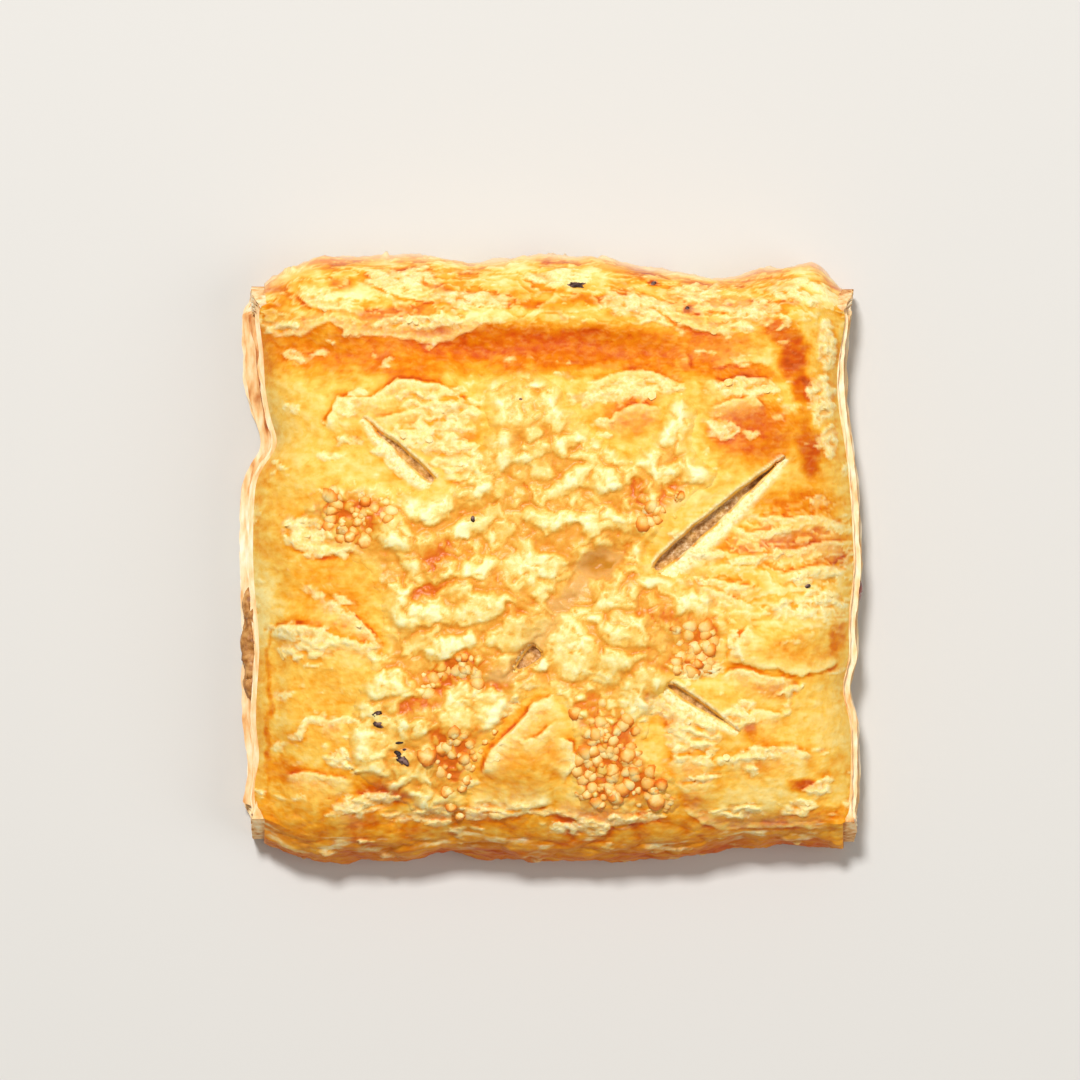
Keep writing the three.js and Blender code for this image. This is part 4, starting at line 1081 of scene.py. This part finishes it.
def ball(centre, radii, turn, rough, seed, steps=(40, 24)):
    """Points in mm and faces of a closed, roughened ellipsoid, turned about Z."""
    around, down = steps
    a = np.linspace(0, 2 * np.pi, around, endpoint=False)
    rings = [np.stack([np.sin(t) * np.cos(a), np.sin(t) * np.sin(a), np.cos(t) + 0 * a], 1)
             for t in np.linspace(0, np.pi, down + 1)[1:-1]]
    unit = np.concatenate([*rings, [[0, 0, 1], [0, 0, -1]]])
    lump = min(2.4, 0.7 * max(radii))
    east, north = unit[:, 0] * radii[0] + 1.5 * unit[:, 2], unit[:, 1] * radii[1] - unit[:, 2]
    swell = 1 + rough * grain(east, north, lump, seed)
    shape = unit * radii * swell[:, None]
    angle = np.radians(turn)
    spin = np.array([[np.cos(angle), -np.sin(angle), 0], [np.sin(angle), np.cos(angle), 0], [0, 0, 1]])
    numbers = np.arange(around * (down - 1)).reshape(-1, around)
    faces = [tuple(f) for low, high in zip(numbers, numbers[1:]) for f in ring_faces(high, low)]
    tip = around * (down - 1)
    faces += fan(numbers[0], tip) + [(b, a, t) for a, b, t in fan(numbers[-1], tip + 1)]
    return shape @ spin.T + centre, faces


def surface_of(piece):
    """A piece's surface, for finding where things lie on it."""
    points = [v.co for v in piece.data.vertices]
    return BVHTree.FromPolygons(points, [tuple(p.vertices) for p in piece.data.polygons])


def balls(name, shapes, ground=None, sunk=0.0):
    """One piece of rough ellipsoids: (x, y, z or None to lie on the ground, radii, turn, roughness)."""
    points, faces, own, lift = [], [], [], []
    for seed, (x, y, z, radii, turn, rough) in enumerate(shapes):
        if z is None:
            hits = [tree.ray_cast((x * MM, y * MM, 0.1), (0, 0, -1))[0] for tree in ground]
            z = max(hit.z for hit in hits if hit is not None) / MM - sunk * radii[2]
        start = sum(map(len, points))
        size = (18, 12) if max(radii) < 3 else (64, 30)
        own_points, own_faces = ball((x, y, z), radii, turn, rough, 200 + seed, size)
        points.append(own_points)
        faces += [tuple(n + start for n in face) for face in own_faces]
        own.append(np.full(len(own_points), 0.42 + 0.27 * np.random.default_rng(seed).random()))
        lift.append((own_points[:, 2] - z) / radii[2])
    fields = {"own": np.concatenate(own), "lift": np.concatenate(lift)}
    return mesh_object(name, np.concatenate(points), faces, fields)


# ---- Materials ----
def new_material(name, look, *details):
    """A material of this name, whose surface has what a look gives for its node tree and details."""
    material = bpy.data.materials.new(name)
    material.use_nodes = True
    tree = material.node_tree
    tree.nodes.clear()
    surface = add(tree, "ShaderNodeBsdfPrincipled", look(tree, *details))
    add(tree, "ShaderNodeOutputMaterial", {"Surface": surface})
    return material


def baked_in(tree, *names):
    """What the piece's points know by these names."""
    return [add(tree, "ShaderNodeAttribute", attribute_name=name).outputs["Fac"] for name in names]


def dough_colour(tree, place):
    """The crust's colour: browned glaze, with painted shade laid into the browning, and dry pale dough where
    it is torn, also paled by painted highlight; and its two textures.
    """
    bake_and_shade, torn = baked_in(tree, "bake_and_shade", "torn")
    coarse = {"Vector": place, "Scale": per_mm(1.3), "Detail": 5, "Roughness": 0.65}
    freckle = add(tree, "ShaderNodeTexNoise", coarse)
    crumb = add(tree, "ShaderNodeTexNoise", {**coarse, "Scale": per_mm(0.8), "Detail": 4})
    drawn = add(tree, "ShaderNodeVectorMath", {0: place, 1: (0.3, 1.0, 0.6)}, operation="MULTIPLY")
    streak = add(tree, "ShaderNodeTexNoise", {"Vector": drawn, "Scale": per_mm(1.2), "Detail": 4})
    shade = add(tree, "ShaderNodeMath", {0: freckle, 1: 0.15, 2: -0.155}, operation="MULTIPLY_ADD")
    shade = add(tree, "ShaderNodeMath", {0: streak, 1: 0.16, 2: shade}, operation="MULTIPLY_ADD")
    shade = add(tree, "ShaderNodeMath", {0: shade, 1: bake_and_shade}, operation="ADD")
    skin = add(tree, "ShaderNodeValToRGB", {"Fac": shade}, CRUST_COLOURS)
    flake = add(tree, "ShaderNodeValToRGB", {"Fac": crumb}, TORN_COLOURS)
    cover = add(tree, "ShaderNodeMath", {0: torn, 1: 0.85}, operation="MULTIPLY")
    colour = add(tree, "ShaderNodeMix", {"Factor": cover, 6: skin, 7: flake}, data_type="RGBA")
    return colour, freckle, crumb


def crust_look(tree):
    """Egg-glazed puff pastry: satin and brown from the oven, pale, dry and matt where it is torn."""
    place = add(tree, "ShaderNodeTexCoord").outputs["Object"]
    colour, freckle, crumb = dough_colour(tree, place)
    torn, cut, slope, rim = baked_in(tree, "torn", "cut", "slope", "rim")
    gloss = add(tree, "ShaderNodeMapRange", {"Value": torn, 3: 0.42, 4: 0.8})
    rosy = add(tree, "ShaderNodeMath", {0: rim, 1: 0.9}, operation="MULTIPLY")
    fresh = add(tree, "ShaderNodeValToRGB", {"Fac": crumb}, SLOPE_COLOURS)
    deep = add(tree, "ShaderNodeMapRange", {"Value": cut, 1: 0.26, 2: 0.42})
    inside = add(tree, "ShaderNodeValToRGB", {"Fac": crumb}, INSIDE_COLOURS)
    for share, layer in ((rosy, (*linear("#fbdcb8"), 1)), (slope, fresh), (deep, inside)):
        colour = add(tree, "ShaderNodeMix", {"Factor": share, 6: colour, 7: layer}, data_type="RGBA")
    fine = add(tree, "ShaderNodeBump", {"Height": crumb, "Strength": 0.5, "Distance": 0.25 * MM})
    coarse = {"Height": freckle, "Strength": 0.3, "Distance": 0.5 * MM, "Normal": fine}
    coarse = add(tree, "ShaderNodeBump", coarse)
    return {
        "Base Color": colour, "Roughness": gloss, "Normal": coarse, "IOR": 1.45, "Specular IOR Level": 0.1,
        "Subsurface Weight": 0.05, "Subsurface Scale": 1 * MM, "Subsurface Radius": (1.0, 0.6, 0.3),
    }


def ply_look(tree):
    """Thin dry layers of dough at the cut ends: floury cream, toasted pink-brown in places, quite matt."""
    place = add(tree, "ShaderNodeTexCoord").outputs["Object"]
    own = baked_in(tree, "bake_and_shade")[0]
    drawn = add(tree, "ShaderNodeVectorMath", {0: place, 1: (1.0, 0.3, 1.6)}, operation="MULTIPLY")
    toast = add(tree, "ShaderNodeTexNoise", {"Vector": drawn, "Scale": per_mm(1.4), "Detail": 5})
    # More browning makes the layers darker; it also carries the painted shade in the gap between the sheets.
    level = add(tree, "ShaderNodeMath", {0: own, 1: -0.35, 2: toast}, operation="MULTIPLY_ADD")
    level = add(tree, "ShaderNodeMath", {0: level, 1: 0.14}, operation="ADD")
    colour = add(tree, "ShaderNodeValToRGB", {"Fac": level}, PLY_COLOURS)
    bump = add(tree, "ShaderNodeBump", {"Height": toast, "Strength": 0.5, "Distance": 0.3 * MM})
    return {
        "Base Color": colour, "Roughness": 0.75, "Normal": bump, "IOR": 1.45, "Specular IOR Level": 0.2,
        "Subsurface Weight": 0.1, "Subsurface Scale": 0.8 * MM,
    }


def cheese_look(tree):
    """Melted hard cheese: softly shining with fat, brown where oil gathered, thinning out over the crust."""
    place = add(tree, "ShaderNodeTexCoord").outputs["Object"]
    shade, murk, thin = baked_in(tree, "shade", "murk", "thin")
    coarse = {"Vector": place, "Scale": per_mm(1.3), "Detail": 4, "Roughness": 0.55}
    mottle = add(tree, "ShaderNodeTexNoise", coarse)
    sprinkle = add(tree, "ShaderNodeTexNoise", {"Vector": place, "Scale": per_mm(0.5), "Detail": 2})
    spot = add(tree, "ShaderNodeMath", {0: mottle, 1: 0.24, 2: -0.22}, operation="MULTIPLY_ADD")
    spot = add(tree, "ShaderNodeMath", {0: sprinkle, 1: 0.2, 2: spot}, operation="MULTIPLY_ADD")
    level = add(tree, "ShaderNodeMath", {0: shade, 1: spot}, operation="ADD")
    colour = add(tree, "ShaderNodeValToRGB", {"Fac": level}, CHEESE_COLOURS)
    deep = add(tree, "ShaderNodeValToRGB", {"Fac": murk}, [(0.45, "#dcb478"), (0.8, "#bd7d1c")])
    for share, layer in ((murk, deep), (thin, dough_colour(tree, place)[0])):
        colour = add(tree, "ShaderNodeMix", {"Factor": share, 6: colour, 7: layer}, data_type="RGBA")
    bump = add(tree, "ShaderNodeBump", {"Height": mottle, "Strength": 0.5, "Distance": 0.3 * MM})
    return {
        "Base Color": colour, "Roughness": 0.38, "Normal": bump, "IOR": 1.46, "Specular IOR Level": 0.35,
        "Subsurface Weight": 0.15, "Subsurface Scale": 2 * MM, "Subsurface Radius": (1.0, 0.6, 0.25),
    }


def bead_look(tree):
    """Beads of clear fat and cheese: peach, wet and letting light through."""
    own, lift = baked_in(tree, "own", "lift")
    # Darker at the foot, lighter at the top: painted shade and painted highlight.
    risen = add(tree, "ShaderNodeMapRange", {"Value": lift, 1: 0.5, 2: 1.0, 3: -0.34, 4: 0.4})
    tone = add(tree, "ShaderNodeMath", {0: own, 1: risen}, operation="ADD")
    return {
        "Base Color": add(tree, "ShaderNodeValToRGB", {"Fac": tone}, BEAD_COLOURS), "Roughness": 0.45,
        "IOR": 1.46, "Specular IOR Level": 0.3, "Subsurface Weight": 0.35, "Subsurface Scale": 0.4 * MM,
        "Subsurface Radius": (1.0, 0.7, 0.4),
    }


def bitty_look(tree, colours, bits, bump, surface):
    """What is lumpy and mottled all through, as the filling, its leaks and burnt crumbs are."""
    place = add(tree, "ShaderNodeTexCoord").outputs["Object"]
    bits = add(tree, "ShaderNodeTexNoise", {"Vector": place, **bits})
    colour = add(tree, "ShaderNodeValToRGB", {"Fac": bits}, colours)
    return {"Base Color": colour, "Normal": add(tree, "ShaderNodeBump", {"Height": bits, **bump}), **surface}


# ---- Staging ----
FLOOR_REACH = 2500  # mm each way, so that no edge of it is seen


def stage():
    """A plain pale floor, soft light from behind on the left, and the camera straight above."""
    scene = bpy.context.scene
    corners = [(-FLOOR_REACH, -FLOOR_REACH, 0), (FLOOR_REACH, -FLOOR_REACH, 0)]
    corners += [(FLOOR_REACH, FLOOR_REACH, 0), (-FLOOR_REACH, FLOOR_REACH, 0)]
    floor = mesh_object("floor", corners, [(0, 1, 2, 3)])
    floor.location.z = -0.02 * MM
    # Dull and colourless, so that it only takes the pastry's soft shadow.
    paper = {"Base Color": (*linear("#d6d4d0"), 1), "Roughness": 0.9}
    floor.data.materials.append(new_material("matt pale paper", lambda tree: paper))

    scene.world = bpy.data.worlds.new("soft studio")
    scene.world.use_nodes = True
    sky = scene.world.node_tree.nodes["Background"]
    sky.inputs["Color"].default_value = (1, 0.94, 0.85, 1)
    sky.inputs["Strength"].default_value = 0.31
    for name, spot, size, power in (
        ("key", (-0.24, 0.72, 1.45), 0.26, 23.6),
        ("fill", (0.9, -0.2, 0.9), 0.8, 3.6),
    ):
        light = bpy.data.lights.new(name, "AREA")
        light.size, light.energy = size, power
        lamp = shown(name, light)
        lamp.location = spot
        lamp.rotation_euler = (-Vector(spot)).to_track_quat("-Z", "Y").to_euler()

    camera = shown("camera", bpy.data.cameras.new("camera"))
    camera.data.sensor_width, camera.data.lens = 36, 179.4
    camera.data.sensor_fit = "HORIZONTAL"
    camera.location = (-1.94 * MM, 3.42 * MM, 1.0)  # a metre above the middle of the pastry
    camera.data.clip_start, camera.data.clip_end = 0.01, 20
    scene.camera = camera
    scene.view_settings.view_transform = "Standard"


def main():
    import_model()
    stage()
    crust = new_material("baked egg-glazed puff pastry", crust_look)
    lid = crust_lid()
    chips = {"Density": 0.08e6, "Smallest": 0.3, "Largest": 0.85, "Tilt": 0.16, "Sink": 0.0, "Seed": 3}
    chips["Material"] = crust
    flakes = grown("flakes", lid, scatter_group("flakes", "torn", flake_shape), chips)
    case = crust_case()
    for piece in (lid, case, flakes):
        dress(piece, crust, "pastry_crust")
    guides = ply_guides()
    layers = new_material("dry layers of pastry", ply_look)
    ply = {"Depth": PLY_DEPTH * MM, "Thickness": PLY_THICKNESS * MM, "Waviness": 0.6 * MM, "Material": layers}
    plies = grown("plies_at_cut_ends", guides, ply_group(), ply)
    bpy.data.objects.remove(guides)
    plies.data.polygons.foreach_set("use_smooth", [False] * len(plies.data.polygons))
    dress(plies, layers, "pastry_crust")

    cheese = cheese_sheet()
    fat = new_material("blistered cheese fat", bead_look)
    blisters = {"Density": 0.45e6, "Smallest": 0.55, "Largest": 1.7, "Tilt": 0.2, "Seed": 4}
    blisters = {**blisters, "Sink": -0.74 * MM, "Material": fat}
    beads = grown("cheese_beads", cheese, scatter_group("beads", "beady", bead_shape), blisters)
    ground = [surface_of(piece) for piece in (lid, case, cheese)]
    dress(cheese, new_material("melted browned cheese", cheese_look), "melted_cheese")
    dress(beads, fat, "melted_cheese")
    large = [(x, y, None, (r, 0.85 * r, 0.65 * r), 40 * r, 0.32) for x, y, r in BEADS]
    dress(balls("large_cheese_beads", large, ground, 0.55), fat, "melted_cheese")

    bits = {"Scale": per_mm(1.6), "Detail": 5, "Roughness": 0.7}
    bump = {"Strength": 0.7, "Distance": 0.6 * MM}
    surface = {"Roughness": 0.4, "IOR": 1.42, "Specular IOR Level": 0.3}
    # Moist and brown-grey, with paler bits of vegetable.
    filling = new_material("cooked savoury filling", bitty_look, FILLING_COLOURS, bits, bump, surface)
    dress(filling_pad(), filling, "filling")
    bits, bump = {"Scale": per_mm(1.2), "Detail": 4}, {"Strength": 0.6, "Distance": 0.4 * MM}
    # A leak that the oven browned and dulled, juice dried to a dark shine, and crumbs burnt nearly black.
    for name, kind, shapes, sunk, slot, node, roughness, coat, colours in (
        ("leaked_filling", "browned leaked filling", LEAKS, 0, "filling", "filling", 0.5, 0.0, LEAK_COLOURS),
        ("dried_juice", "dark dried juice", DRIP, 0, "filling", "filling", 0.3, 0.3, JUICE_COLOURS),
        ("burnt_crumbs", "burnt crumbs", SPECKS, 0.3, "crust", "pastry_crust", 0.6, 0.0, BURNT_COLOURS),
    ):
        surface = {"Roughness": roughness, "IOR": 1.45, "Coat Weight": coat, "Coat Roughness": 0.15}
        skin = new_material(kind, bitty_look, colours, bits, bump, surface)
        dress(balls(name, shapes, ground, sunk), skin, node)


main()
